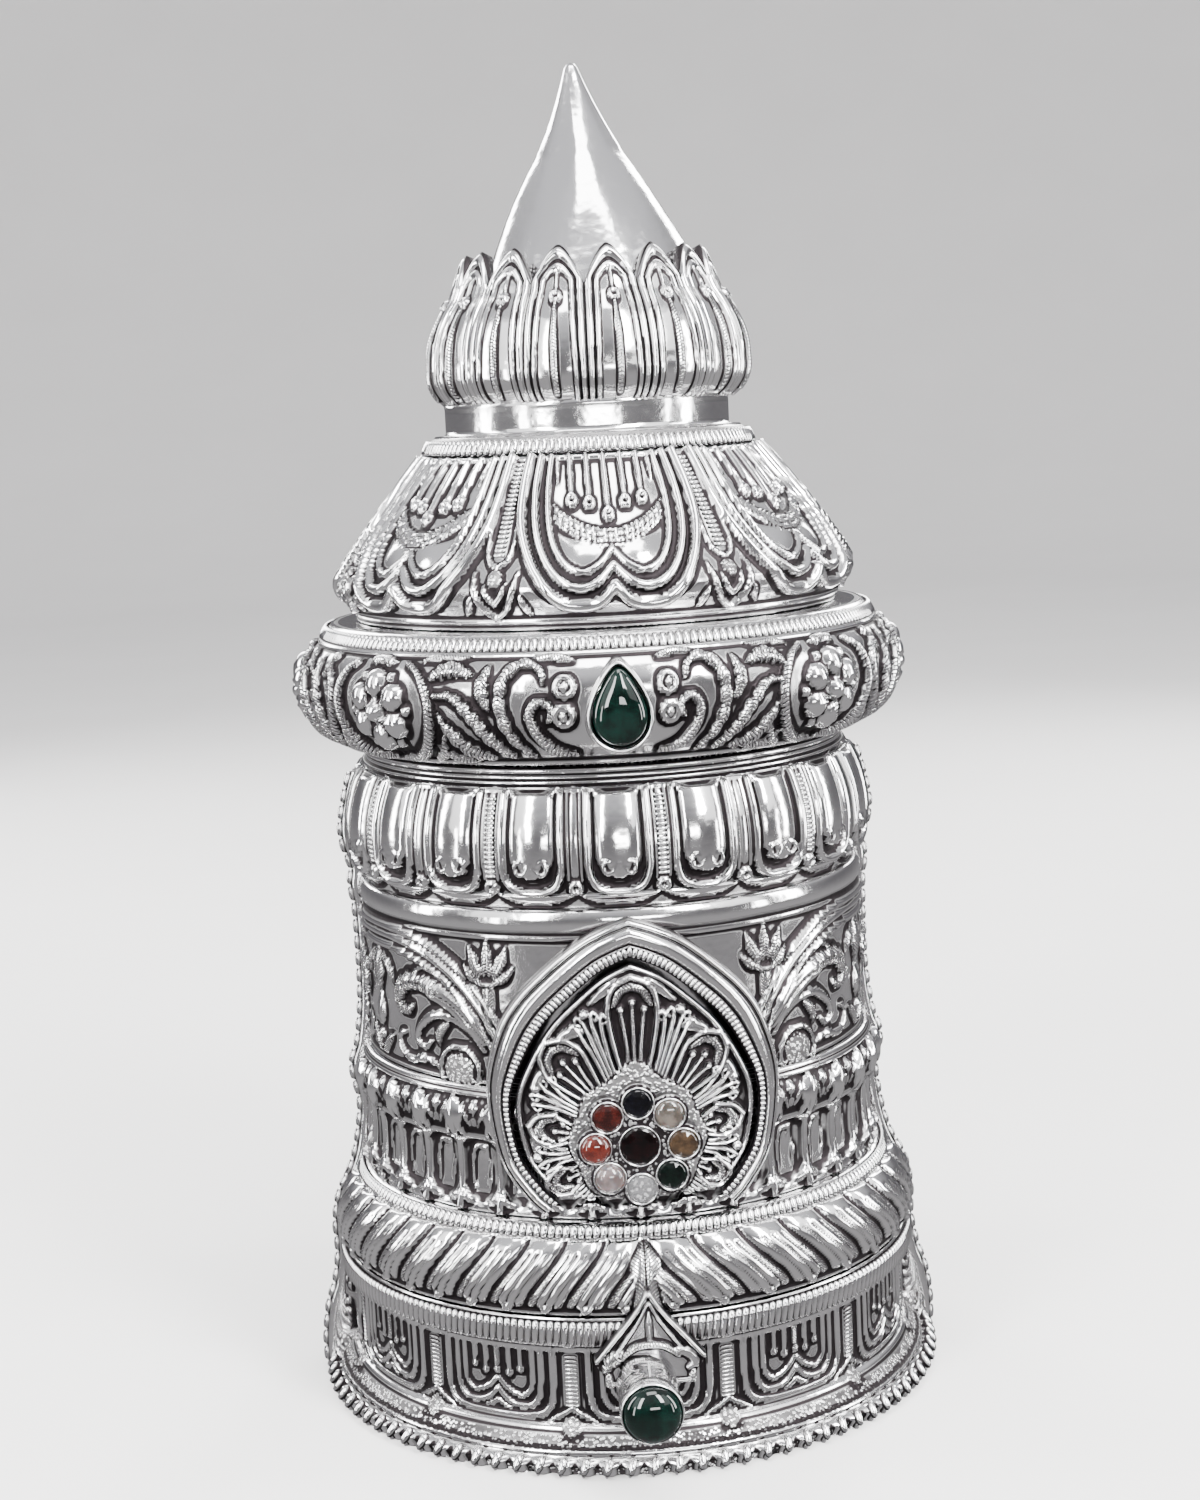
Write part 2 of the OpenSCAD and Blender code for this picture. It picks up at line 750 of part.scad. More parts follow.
// scalloped outline of the plate that holds the nine stones
module plate_outline(more = 0) {
    translate([0, cluster_z]) {
        circle(r = cluster_r + more);
        for (i = [0:7])
            rotate(i * small_ring_step) translate([cluster_r, 0]) circle(r = ring_stone_r + 1 + more, $fn = 32);
    }
}

module stone_plate() {
    color(silver) difference() {
        outward(60, plate_face_r) plate_outline();
        cylinder(r = fan_r + seat, h = 200);
        outward(plate_face_r - stone_sink - 0.2, 75) translate([0, cluster_z]) {
            circle(r = middle_stone_d / 2 + 0.1);
            for (i = [0:7])
                rotate(i * small_ring_step) translate([cluster_r, 0]) circle(r = ring_stone_r + 0.1);
        }
    }
}

// stone standing in the plate; places count clockwise from the top of the cluster
module in_cluster(place, radius = cluster_r) {
    angle = place * small_ring_step;
    translate([radius * sin(angle), -plate_face_r + stone_sink, cluster_z + radius * cos(angle)])
        rotate([90, 0, 0]) children();
}

// round cut stone with a flat table, twelve crown facets and a girdle
module cut_stone(d) {
    girdle = stone_sink + 0.1;
    cylinder(d = d, h = girdle);
    translate([0, 0, girdle]) cylinder(d1 = d * 0.98, d2 = d * 0.56, h = stone_rise, $fn = 12);
}

// smooth domed stone
module domed_stone(d, rise) {
    ball_r = (d * d / 4 + rise * rise) / (2 * rise);
    cylinder(d = d, h = stone_sink);
    intersection() {
        translate([0, 0, stone_sink + rise - ball_r]) sphere(r = ball_r);
        translate([0, 0, stone_sink - 0.5]) cylinder(d = d, h = rise + 2);
    }
}

module stone_middle() { color(dark_red) in_cluster(0, 0) cut_stone(middle_stone_d); }
module stone_top() { color(dark_blue) in_cluster(0) cut_stone(small_stone_d); }
module stone_top_right() { color(milky_grey) in_cluster(1) domed_stone(small_stone_d, 1.6); }
module stone_right() { color(warm_brown) in_cluster(2) cut_stone(small_stone_d); }
module stone_low_right() { color(dark_green) in_cluster(3) cut_stone(small_stone_d); }
module stone_bottom() { color(clear_white) in_cluster(4) cut_stone(small_stone_d); }
module stone_low_left() { color(pearl_white) in_cluster(5) domed_stone(small_stone_d, 2.4); }
module stone_left() { color(coral_red) in_cluster(6) domed_stone(small_stone_d, 2.2); }
module stone_top_left() { color(dark_red) in_cluster(7) cut_stone(small_stone_d); }

module teardrop_stone() {
    dome_r = 13;
    back = shoulder_r + 1.1;
    color(dark_green) intersection() {
        outward(back, back + 6) translate([0, teardrop_z]) polygon(pear(teardrop_w, teardrop_h));
        translate([0, -back - 4.4 + dome_r, teardrop_z - 1.5]) sphere(r = dome_r);
    }
}

module leaf_plaque() {
    plate = [[71.1, post_z - 8], [71.1, plaque_top_z + 2]];
    half = [
        [0, plaque_top_z], [2.6, plaque_top_z - 4.6], [7, plaque_top_z - 10], [12.4, plaque_top_z - 16.4],
        [11.6, plaque_top_z - 18.6], [10.3, plaque_top_z - 20.2], [10.1, post_z - 1]
    ];
    color(silver) difference() {
        union() {
            intersection() {
                turned(layer(plate, 0, 1.4));
                outward(60, 80) polygon(mirrored(half));
            }
            intersection() {
                turned(layer(plate, 0.7, 2.4));
                outward(60, 80) {
                    outline_ring(mirrored(half), 1.3);
                    polygon(petal(2.2, post_z + 7, plaque_top_z - 5));
                }
            }
        }
        jewel_axis() cylinder(d = post_d + 0.4, h = 90);
    }
}

// children on the axis of the jewel post, with their up pointing out of the front
module jewel_axis(away = 0) {
    translate([-post_shift, -away, post_z]) rotate([90, 0, 0]) children();
}

module jewel_post() {
    bezel_h = 4;
    stone_depth = 2.2;
    color(silver) difference() {
        union() {
            jewel_axis(band_r - 4) cylinder(d = post_d, h = bezel_r - band_r + 3);
            jewel_axis(bezel_r - bezel_h) cylinder(d = bezel_d, h = bezel_h);
        }
        cylinder(r = band_r + relief + seat, h = 60);
        jewel_axis(bezel_r - stone_depth) cylinder(d = base_stone_d + 0.2, h = stone_depth + 1);
    }
}

module base_stone() {
    color(dark_green) jewel_axis(bezel_r - 2.1) domed_stone(base_stone_d, 4.2);
}

// edge of the side strips as radius and height
strip_edge = [
    [rim_r + 1, 1.5], [rim_r + 1, 9], [rim_r - 0.2, 17], [rim_r - 2, 22.5], [71.8, 30], [71.9, 38],
    [70.6, 45], [67.4, 51.5], [65.4, 58], [64, 68], [65.2, 75], [65.2, 79], [63.6, 84], [62.2, 96],
    [62.2, 116],
    [63, 122.5], [62.6, 127], [64.2, 133], [64.4, 138], [62.8, 146], [61.2, strip_top_z]
];

// strip drawn at the front, before it is turned to its side
module side_strip() {
    difference() {
        intersection() {
            turned_front(concat([[50, 1.5]], strip_edge, [[50, strip_top_z]]), 10);
            translate([-strip_w / 2, -90, 0]) cube([strip_w, 40, 200]);
        }
        inside_of_body(seat);
    }
}

module side_strip_left() { color(silver) rotate([0, 0, -90]) side_strip(); }
module side_strip_right() { color(silver) rotate([0, 0, 90]) side_strip(); }

base_ring();
leaf_moulding();
fluted_waist();
drum();
tongue_collar();
shoulder_ring();
petal_dome();
neck_collar();
lotus_cup();
cone_finial();
arch_frame();
fan_panel();
stone_plate();
stone_middle();
stone_top();
stone_top_right();
stone_right();
stone_low_right();
stone_bottom();
stone_low_left();
stone_left();
stone_top_left();
teardrop_stone();
leaf_plaque();
jewel_post();
base_stone();
side_strip_left();
side_strip_right();
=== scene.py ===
"""Temple crown: raised silver tiers, stones, floor, lights and camera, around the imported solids.

Each tier is a closed shell drawn over the same outline as its solid. A relief raises the ornament from it,
and small ribs and beads are laid on it as joined copies. Lengths are in millimetres until a mesh is made.
Azimuth is measured from the front, positive to the viewer's right.
"""

import math

import bpy
import mathutils
import numpy as np
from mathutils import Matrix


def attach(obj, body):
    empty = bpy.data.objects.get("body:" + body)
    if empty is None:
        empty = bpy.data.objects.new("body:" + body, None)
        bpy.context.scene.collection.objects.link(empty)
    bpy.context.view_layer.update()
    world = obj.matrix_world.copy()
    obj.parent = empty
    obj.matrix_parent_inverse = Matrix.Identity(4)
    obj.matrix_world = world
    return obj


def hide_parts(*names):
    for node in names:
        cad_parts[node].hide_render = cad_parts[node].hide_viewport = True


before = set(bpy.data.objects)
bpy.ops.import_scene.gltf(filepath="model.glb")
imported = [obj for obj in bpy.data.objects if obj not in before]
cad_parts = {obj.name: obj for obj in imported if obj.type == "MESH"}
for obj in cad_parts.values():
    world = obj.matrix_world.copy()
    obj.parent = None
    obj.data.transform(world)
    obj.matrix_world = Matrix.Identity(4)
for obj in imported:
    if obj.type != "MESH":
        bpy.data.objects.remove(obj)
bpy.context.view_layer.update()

# a millimetre in metres, the thickness of the sheet, and the gap between two tiers
MM = 0.001
SHEET = 1.2
SEAT = 0.25

# the outlines of the tiers use the same values as the solids
RIM_R, BEAD_H = 75, 3.3
BAND_R, BAND_Z0, BAND_Z1 = 67.6, 8.6, 27.6
BASE_CORD_R, BASE_TOP_Z = 69.4, 35.2
LEAF_TOP_R, LEAF_TOP_Z, LEAF_CORD_Z, LEAF_SWELL = 65, 51.6, 55.2, 2.4
FLUTE_R, FLUTE_TOP_Z, DROP_TOP_Z, WAIST_TOP_Z = 61.2, 73.4, 81.8, 84.6
DRUM_R, DRUM_BAND_Z0, DRUM_BAND_Z1, DRUM_NECK_R = 60.2, 119.6, 125.6, 58.8
TONGUE_LOW_R, TONGUE_LOW_Z, TONGUE_TOP_R, TONGUE_TOP_Z = 60.8, 129.4, 58.1, 152
HOLLOW_R = 57.1
SHOULDER_R, SHOULDER_Z, SHOULDER_LOW_Z, SHOULDER_TOP_Z = 70.6, 174.4, 157.4, 187.2
DOME_R, DOME_FOOT_Z, DOME_TOP_R, DOME_TOP_Z = 60.3, 196.6, 39.3, 224.5
NECK_R, NECK_TOP_Z = 33.8, 237.2
LOTUS_R, LOTUS_Z, LOTUS_TIP_Z, LOTUS_SHIFT = 36.6, 245, 270.8, 1
CONE_FOOT_R, CONE_FOOT_Z, TIP_Z, CONE_LEAN = 26.4, 263, 314.6, 2.6
ARCH_HALF_W, ARCH_TOP_Z, ARCH_FOOT_Z, ARCH_R = 32.6, 124, 57.4, 67
ARCH_FRAME_W, ARCH_FOOT_W, ARCH_GAP, FAN_R = 8, 4.6, 1.2, 65
CLUSTER_Z, CLUSTER_R, PLATE_FACE_R = 74.4, 9.7, 70
SMALL_STONE_R, MIDDLE_STONE_R, STONE_SINK = 3.25, 4.3, 1.4
POST_X, POST_Z, POST_R, BEZEL_R, BEZEL_END, BASE_STONE_R = -1.2, 21.2, 6.7, 6.95, 90, 6.3
PLAQUE_TOP_Z, PLAQUE_MIDDLE_Z, PLAQUE_FACE_R, PLAQUE_BACK_R = 43, 27, 72.1, 70.2
TEARDROP_W, TEARDROP_H, TEARDROP_Z = 12.6, 17.2, 171.8
STRIP_TOP_Z = 151

# radius of the wall at the side strips, and half the width that the ornament leaves free for them
SIDE_R, SIDE_HALF_W = 62, 2.2

# how finely a wall is drawn: points around it, how they crowd to the front, and outer rows to an inner one
TIER_COLUMNS = 656
FRONT_CROWDING = 0.4
INNER_ROW_STEP = 5

# counts of the repeated ornaments
CARTOUCHES = 12
LEAVES_LEFT, LEAVES_RIGHT = 24, 19
FLUTES = 36
TONGUES = 20
TONGUE_OFFSET = -1
ROSETTE_RIGHT, ROSETTE_LEFT, ROSETTES = 43, 47, 7
ROSETTE_GAP = (360 - ROSETTE_RIGHT - ROSETTE_LEFT) / (ROSETTES - 1)
DOME_PETALS, DOME_OFFSET = 7, 1
LOTUS_PETALS, LOTUS_OFFSET = 16, 7.6
RIM_CLAWS = 90


# curves

def lengths_along(curve):
    """Distance of each point of a curve from its first one, measured along it."""
    return np.concatenate([[0], np.cumsum(np.hypot(*np.diff(curve, axis=0).T))])


def at_lengths(values, passed, spots):
    """Rows of values where the distances passed along a curve reach the spots."""
    return np.stack([np.interp(spots, passed, column) for column in values.T], 1)


def directions(curve):
    """The unit step of a flat curve at each of its points."""
    step = np.gradient(curve, axis=0)
    return step / np.hypot(*step.T)[:, None]


def bow(a, b, depth, steps=12):
    """Points from a to b on a curve that swells to the right of the line by depth."""
    a, b = np.array(a, float), np.array(b, float)
    t = np.linspace(0, 1, steps + 1)[:, None]
    right = np.array([b[1] - a[1], a[0] - b[0]]) / np.hypot(*(b - a))
    return [tuple(p) for p in a + (b - a) * t + right * 4 * depth * t * (1 - t)]


def smooth(points, steps=7):
    """A curve through the points, as Catmull-Rom spans."""
    p = np.array(points, float)
    if len(p) == 2:
        return p
    p = np.vstack([2 * p[0] - p[1], p, 2 * p[-1] - p[-2]])
    t = np.linspace(0, 1, steps, endpoint=False)[:, None]
    spans = [
        0.5 * (2 * b + (c - a) * t + (2 * a - 5 * b + 4 * c - d) * t**2 + (3 * b - a - 3 * c + d) * t**3)
        for a, b, c, d in zip(p[:-3], p[1:-2], p[2:-1], p[3:])
    ]
    return np.vstack([*spans, p[-2]])


# outlines of the tiers

class Outline:
    """A tier's wall as radius and height, measured along its length from the bottom up."""

    def __init__(self, *runs):
        points = []
        for point in (tuple(p) for run in runs for p in run):
            if not points or math.dist(point, points[-1]) > 0.05:
                points.append(point)
        self.points = np.array(points, float)
        self.length = lengths_along(self.points)
        along = np.gradient(self.points, self.length, axis=0)
        along /= np.hypot(*along.T)[:, None]
        self.out = np.stack([along[:, 1], -along[:, 0]], 1)

    def at(self, s):
        """Radius, height, and the outward normal's two parts, at lengths along the outline."""
        columns = (*self.points.T, *self.out.T)
        return [np.interp(s, self.length, column) for column in columns]

    def s_at(self, z):
        """Length along the outline where it reaches a height."""
        return float(np.interp(z, self.points[:, 1], self.length))

    def rows(self, spacing):
        """Lengths about a spacing apart that keep every corner of the outline."""
        runs = [
            np.linspace(a, b, max(round((b - a) / spacing), 1), endpoint=False)
            for a, b in zip(self.length[:-1], self.length[1:])
        ]
        return np.append(np.concatenate(runs), self.length[-1])

    def place(self, azimuth, s, height):
        """Points above the outline, as an array that ends in x, y, z."""
        r, z, out, up = self.at(s)
        r = r + height * out
        z = z + height * up
        return np.stack(np.broadcast_arrays(r * np.sin(azimuth), -r * np.cos(azimuth), z), -1)

    def axes(self, azimuth, s):
        """Unit directions along the outline, around the crown, and outwards."""
        _, _, out, up = self.at(s)
        azimuth, out, up = np.broadcast_arrays(azimuth, out, up)
        sine, cosine = np.sin(azimuth), np.cos(azimuth)
        along = np.stack([-up * sine, up * cosine, out], -1)
        around = np.stack([cosine, sine, np.zeros_like(sine)], -1)
        outward = np.stack([out * sine, -out * cosine, up], -1)
        return along, around, outward


base_outline = Outline(
    [(RIM_R - 0.9, 0)],
    bow((RIM_R - 0.9, 0.4), (RIM_R - 1.4, BEAD_H), 1),
    [(RIM_R - 2.4, BEAD_H + 0.3), (RIM_R - 3.1, BEAD_H + 2), (BAND_R + 1.2, BAND_Z0)],
    [(BAND_R, BAND_Z0 + 0.6), (BAND_R, BAND_Z1), (BASE_CORD_R - 0.4, BAND_Z1 + 0.6)],
    bow((BASE_CORD_R - 0.2, BAND_Z1 + 1.2), (BASE_CORD_R, BASE_TOP_Z - 0.4), 0.5),
    [(BASE_CORD_R - 3.4, BASE_TOP_Z)],
)
leaf_outline = Outline(
    bow((BASE_CORD_R - 0.4, BASE_TOP_Z + SEAT), (LEAF_TOP_R, LEAF_TOP_Z), LEAF_SWELL, 16),
    bow((LEAF_TOP_R, LEAF_TOP_Z), (LEAF_TOP_R - 1.7, LEAF_CORD_Z - 0.3), 0.5, 6),
    [(LEAF_TOP_R - 4.4, LEAF_CORD_Z)],
)
waist_outline = Outline(
    [(FLUTE_R + 0.8, LEAF_CORD_Z + SEAT), (FLUTE_R + 0.2, LEAF_CORD_Z + 3)],
    bow((FLUTE_R - 0.6, LEAF_CORD_Z + 4), (FLUTE_R - 0.6, FLUTE_TOP_Z), -0.5),
    bow((FLUTE_R + 0.6, FLUTE_TOP_Z + 0.3), (FLUTE_R + 0.7, DROP_TOP_Z), 1.3),
    bow((FLUTE_R + 0.2, DROP_TOP_Z + 0.3), (FLUTE_R + 0.3, WAIST_TOP_Z - 0.3), 0.6, 6),
    [(FLUTE_R - 2.6, WAIST_TOP_Z)],
)
drum_outline = Outline(
    [(DRUM_R, WAIST_TOP_Z + SEAT), (DRUM_R, DRUM_BAND_Z0)],
    bow((DRUM_R + 0.2, DRUM_BAND_Z0 + 0.3), (DRUM_R + 0.2, DRUM_BAND_Z1 - 0.2), 0.8, 8),
    [(DRUM_NECK_R, DRUM_BAND_Z1 + 0.2), (DRUM_NECK_R, TONGUE_LOW_Z - 0.8)],
    [(DRUM_NECK_R + 1, TONGUE_LOW_Z + 2.4)],
)
tongue_outline = Outline(
    bow((TONGUE_LOW_R, TONGUE_LOW_Z), (TONGUE_TOP_R, TONGUE_TOP_Z), 2.2, 16),
    bow((HOLLOW_R + 0.2, TONGUE_TOP_Z + 0.4), (HOLLOW_R, TONGUE_TOP_Z + 2.8), 0.6, 6),
    bow((HOLLOW_R, TONGUE_TOP_Z + 2.8), (HOLLOW_R, TONGUE_TOP_Z + 4.6), 0.4, 5),
    [(HOLLOW_R - 0.2, SHOULDER_LOW_Z - SEAT)],
)
shoulder_outline = Outline(
    [(HOLLOW_R - 1.4, SHOULDER_LOW_Z), (HOLLOW_R + 2.6, SHOULDER_LOW_Z + 0.5)],
    bow((HOLLOW_R + 3, SHOULDER_LOW_Z + 0.8), (SHOULDER_R, SHOULDER_Z), 3.4, 16),
    bow((SHOULDER_R, SHOULDER_Z), (SHOULDER_R - 4.6, SHOULDER_TOP_Z - 4.2), 1.3, 10),
    bow((SHOULDER_R - 4.6, SHOULDER_TOP_Z - 4.1), (SHOULDER_R - 7, SHOULDER_TOP_Z - 0.6), 0.5, 6),
    [(SHOULDER_R - 7.8, SHOULDER_TOP_Z - 0.2), (DOME_R - 3.8, SHOULDER_TOP_Z)],
)
dome_outline = Outline(
    [(DOME_R - 2.9, SHOULDER_TOP_Z + SEAT), (DOME_R - 2.7, SHOULDER_TOP_Z + 2.4)],
    [(DOME_R - 1.5, SHOULDER_TOP_Z + 5.4)],
    bow((DOME_R - 1.3, DOME_FOOT_Z - 3.8), (DOME_R, DOME_FOOT_Z), 0.5, 4),
    bow((DOME_R, DOME_FOOT_Z), (DOME_TOP_R, DOME_TOP_Z), 0.6, 20),
)
neck_outline = Outline(
    bow((DOME_TOP_R - 0.2, DOME_TOP_Z + 0.4), (DOME_TOP_R - 2.4, DOME_TOP_Z + 4.5), 0.5, 6),
    [(NECK_R + 0.6, DOME_TOP_Z + 5.1), (NECK_R, DOME_TOP_Z + 5.7)],
    [(NECK_R, NECK_TOP_Z - 0.7), (NECK_R - 0.6, NECK_TOP_Z - 0.1), (24.5, NECK_TOP_Z)],
)
lotus_outline = Outline(
    bow((NECK_R - 0.8, NECK_TOP_Z + SEAT), (LOTUS_R, LOTUS_Z), 1.4, 8),
    bow((LOTUS_R, LOTUS_Z), (LOTUS_R - 5.3, LOTUS_Z + 14.9), 1.4, 10),
    [(LOTUS_R - 10.1, LOTUS_TIP_Z)],
)
cone_outline = Outline(
    [(CONE_FOOT_R, NECK_TOP_Z + SEAT), (CONE_FOOT_R, CONE_FOOT_Z - 3)],
    bow((CONE_FOOT_R, CONE_FOOT_Z), (10.2, TIP_Z - 21), 0.8),
    bow((9.8, TIP_Z - 20), (1.6, TIP_Z - 1.2), -0.4),
    [(1.1, TIP_Z - 0.3), (0.03, TIP_Z)],
)


# relief

def fold(azimuth, count, offset=0.0):
    """Angle from the middle of the nearest of a count of equal fields. The offset is in degrees."""
    pitch = 2 * np.pi / count
    return (azimuth - math.radians(offset) + pitch / 2) % pitch - pitch / 2


def from_nearest(azimuth, middles):
    """Angle from the nearest of several middles, which are given in degrees."""
    away = (azimuth[:, None] - np.radians(middles) + np.pi) % (2 * np.pi) - np.pi
    return away[np.arange(len(azimuth)), np.abs(away).argmin(1)]


class Relief:
    """Ornament over a grid of points: heights, lines chased into them, matted spots and painted shade on the
    ground.
    """

    def __init__(self, shape):
        self.height = np.zeros(shape)
        self.phase = np.zeros(shape)
        self.chased = np.zeros(shape)
        self.matte = np.zeros(shape)
        self.ground = np.zeros(shape)
        self.x = self.y = self.height

    def use(self, x, y):
        """Sets the flat coordinates that the next forms are drawn in."""
        self.x, self.y = np.broadcast_arrays(x, y)

    def paint_ground_shade(self, points, amount=0.8):
        """Paints shade on the ground between the raised forms, by an amount where the points are true."""
        self.ground = np.where(points, amount, self.ground)

    def _near(self, curve, reach):
        """Which points lie in the box around a curve, grown by a reach."""
        low, high = curve.min(0) - reach, curve.max(0) + reach
        return (self.x > low[0]) & (self.x < high[0]) & (self.y > low[1]) & (self.y < high[1])

    def _raise(self, spot, top, lines=None, matte=0.0):
        """Lifts points to a height where it is above what is there."""
        above = top > self.height[spot]
        self.height[spot] = np.where(above, top, self.height[spot])
        self.matte[spot] = np.where(above, matte, self.matte[spot])
        self.chased[spot] = np.where(above, 0 if lines is None else 1, self.chased[spot])
        if lines is not None:
            self.phase[spot] = np.where(above, lines, self.phase[spot])

    def stroke(self, points, width, height, ends=(0.4, 0.4), vein=0.0, lobes=0, lines=0.0):
        """Raises a round ridge or a leaf along a curve.

        width is half the full width, ends are the shares of it at the two tips, vein is the depth of the
        groove along the middle, lobes the number of scallops, and lines the pitch of slanted chased lines.
        """
        curve = smooth(points)
        spot = self._near(curve, width)
        if not spot.any():
            return
        x, y = self.x[spot], self.y[spot]
        distance = np.full(x.shape, 1e9)
        share = np.zeros(x.shape)
        steps = np.diff(curve, axis=0)
        lengths = np.hypot(*steps.T)
        passed = lengths_along(curve)
        for start, step, length, before in zip(curve[:-1], steps, lengths, passed):
            t = np.clip(((x - start[0]) * step[0] + (y - start[1]) * step[1]) / length**2, 0, 1)
            away = np.hypot(x - start[0] - t * step[0], y - start[1] - t * step[1])
            nearer = away < distance
            distance = np.where(nearer, away, distance)
            share = np.where(nearer, (before + t * length) / passed[-1], share)
        taper = np.interp(share, (0, 0.3, 0.6, 1), (ends[0], 1, 1, ends[1]))
        if lobes:
            taper = taper * (0.74 + 0.26 * np.abs(np.sin(np.pi * lobes * share)))
        across = np.clip(1 - (distance / (width * taper + 1e-6)) ** 2, 0, 1)
        top = height * np.sqrt(taper) * across**0.6
        if vein:
            top = np.where(across > 0, np.maximum(top - vein * np.exp(-((distance / 0.4) ** 2)), 0.01), 0)
        marks = (share * passed[-1] + 0.8 * distance) / lines if lines else None
        self._raise(spot, top, marks)

    def ring(self, centre, radius, width, height):
        """Raises a ring of round section."""
        away = np.hypot(self.x - centre[0], self.y - centre[1])
        spot = np.abs(away - radius) < width
        self._raise(spot, height * np.sqrt(1 - ((away[spot] - radius) / width) ** 2))

    def boss(self, centre, radius, height, matte=0.0):
        """Raises a round dome."""
        away = np.hypot(self.x - centre[0], self.y - centre[1])
        spot = away < radius
        self._raise(spot, height * np.sqrt(1 - (away[spot] / radius) ** 2), matte=matte)

    def fade(self, share):
        """Scales the whole relief by a share at each point."""
        self.height *= share
        self.chased *= share > 0.5

    def marks(self):
        """What the silver's shader reads at each point, by name."""
        return {"cavity": cavity_of(self), "phase": self.phase, "chased": self.chased, "matte": self.matte}


class TierRelief(Relief):
    """The ornament of a tier, over rows along its outline and angles around the crown."""

    def __init__(self, outline, rows, azimuth):
        super().__init__((len(rows), len(azimuth)))
        self.azimuth = azimuth
        self.outline = outline
        self.s = rows[:, None]
        self.r, self.z = (column[:, None] for column in outline.at(rows)[:2])

    def use_fields(self, count, radius, offset=0.0):
        """Draws next in a count of equal fields, each mirrored about its middle."""
        self.use(np.abs(fold(self.azimuth, count, offset)) * radius, self.z)

    def bands(self, level, *lines):
        """Raises round lines around the tier, each with its place, half width and height."""
        self.use(self.azimuth, level)
        for at, width, height in lines:
            spot = np.abs(self.y - at) < width
            self._raise(spot, height * np.sqrt(1 - ((self.y[spot] - at) / width) ** 2))

    def clear_sides(self, kept):
        """Flattens the ornament under the side strips, but not in the rows that are kept."""
        away = np.abs(np.abs(self.azimuth) - np.pi / 2)
        self.fade(np.where(kept, 1, np.clip((away * SIDE_R - SIDE_HALF_W) / 0.8, 0, 1)))


def blurred(field, up, across):
    """The mean of a field over a window of points, closed around the crown."""
    wide = sum(np.roll(field, k, 1) for k in range(-across, across + 1)) / (2 * across + 1)
    padded = np.pad(wide, ((up, up), (0, 0)), mode="edge")
    rows = field.shape[0]
    return sum(padded[k:k + rows] for k in range(2 * up + 1)) / (2 * up + 1)


def cavity_of(relief):
    """How dark each point is painted, from 0 to 1: patina with painted shade where it lies deep among what is
    around it, and painted shade on the low ground.
    """
    height = relief.height
    # patina with painted shade in hollows, near and far
    close = (blurred(height, 2, 2) - height) / 0.16
    far = (blurred(height, 5, 6) - height) / 0.7
    # painted shade on the ground, fading on raised forms
    low = 0.4 * relief.ground * np.clip(1 - height / 0.5, 0, 1)
    return np.clip(0.75 * np.clip(close, 0, 1) + 0.3 * np.clip(far, 0, 1) + low, 0, 1)


# meshes

class Part:
    """Points and faces that are joined with others into one piece."""

    def __init__(self, points, quads=(), triangles=(), **marks):
        self.points = np.asarray(points, float).reshape(-1, 3)
        self.quads = np.asarray(quads, int).reshape(-1, 4)
        self.triangles = np.asarray(triangles, int).reshape(-1, 3)
        self.marks = {name: np.asarray(value, float).ravel() for name, value in marks.items()}


# what the silver's shader reads at the points, and what it finds on the plain inside of a wall
MARKS = ("cavity", "phase", "chased", "matte")
# the plain inside of a wall is given painted shade by its cavity value
INSIDE_MARKS = {"cavity": 0.4, "phase": 0, "chased": 0, "matte": 0.5}


def facing_out(part):
    """The same part with its faces turned outwards, told by the sign of its volume."""
    corners = np.concatenate([part.triangles, part.quads[:, :3], part.quads[:, [0, 2, 3]]])
    a, b, c = (part.points[corners[:, k]] for k in range(3))
    if np.einsum("ij,ij->i", a, np.cross(b, c)).sum() < 0:
        part.quads = part.quads[:, ::-1]
        part.triangles = part.triangles[:, ::-1]
    return part


def new_piece(name, parts, material, replaced=(), flat=False):
    """Joins parts into one mesh object that rides on the crown."""
    parts = [facing_out(part) for part in parts]
    starts = np.cumsum([0] + [len(p.points) for p in parts])
    quads = np.concatenate([p.quads + start for p, start in zip(parts, starts)])
    triangles = np.concatenate([p.triangles + start for p, start in zip(parts, starts)])
    points = np.concatenate([p.points for p in parts]) * MM
    mesh = bpy.data.meshes.new(name)
    mesh.vertices.add(len(points))
    mesh.vertices.foreach_set("co", points.astype(np.float32).ravel())
    corners = np.concatenate([quads.ravel(), triangles.ravel()])
    mesh.loops.add(len(corners))
    mesh.loops.foreach_set("vertex_index", corners.astype(np.int32))
    first = np.concatenate([
        np.arange(len(quads)) * 4,
        len(quads) * 4 + np.arange(len(triangles)) * 3,
    ])
    mesh.polygons.add(len(first))
    mesh.polygons.foreach_set("loop_start", first.astype(np.int32))
    mesh.update(calc_edges=True)
    mesh.polygons.foreach_set("use_smooth", np.full(len(first), not flat))
    for mark in MARKS:
        values = np.concatenate([p.marks.get(mark, np.zeros(len(p.points))) for p in parts])
        mesh.attributes.new(mark, "FLOAT", "POINT").data.foreach_set("value", values.astype(np.float32))
    mesh.materials.append(material)
    piece = bpy.data.objects.new(name, mesh)
    bpy.context.scene.collection.objects.link(piece)
    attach(piece, "root")
    if replaced:
        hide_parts(*replaced)


def ring_quads(rows, columns, start=0):
    """Faces between rows of points that each close around."""
    i, j = np.meshgrid(np.arange(rows - 1), np.arange(columns), indexing="ij")
    right = (j + 1) % columns
    corners = [i * columns + j, i * columns + right, (i + 1) * columns + right, (i + 1) * columns + j]
    return start + np.stack(corners, -1).reshape(-1, 4)


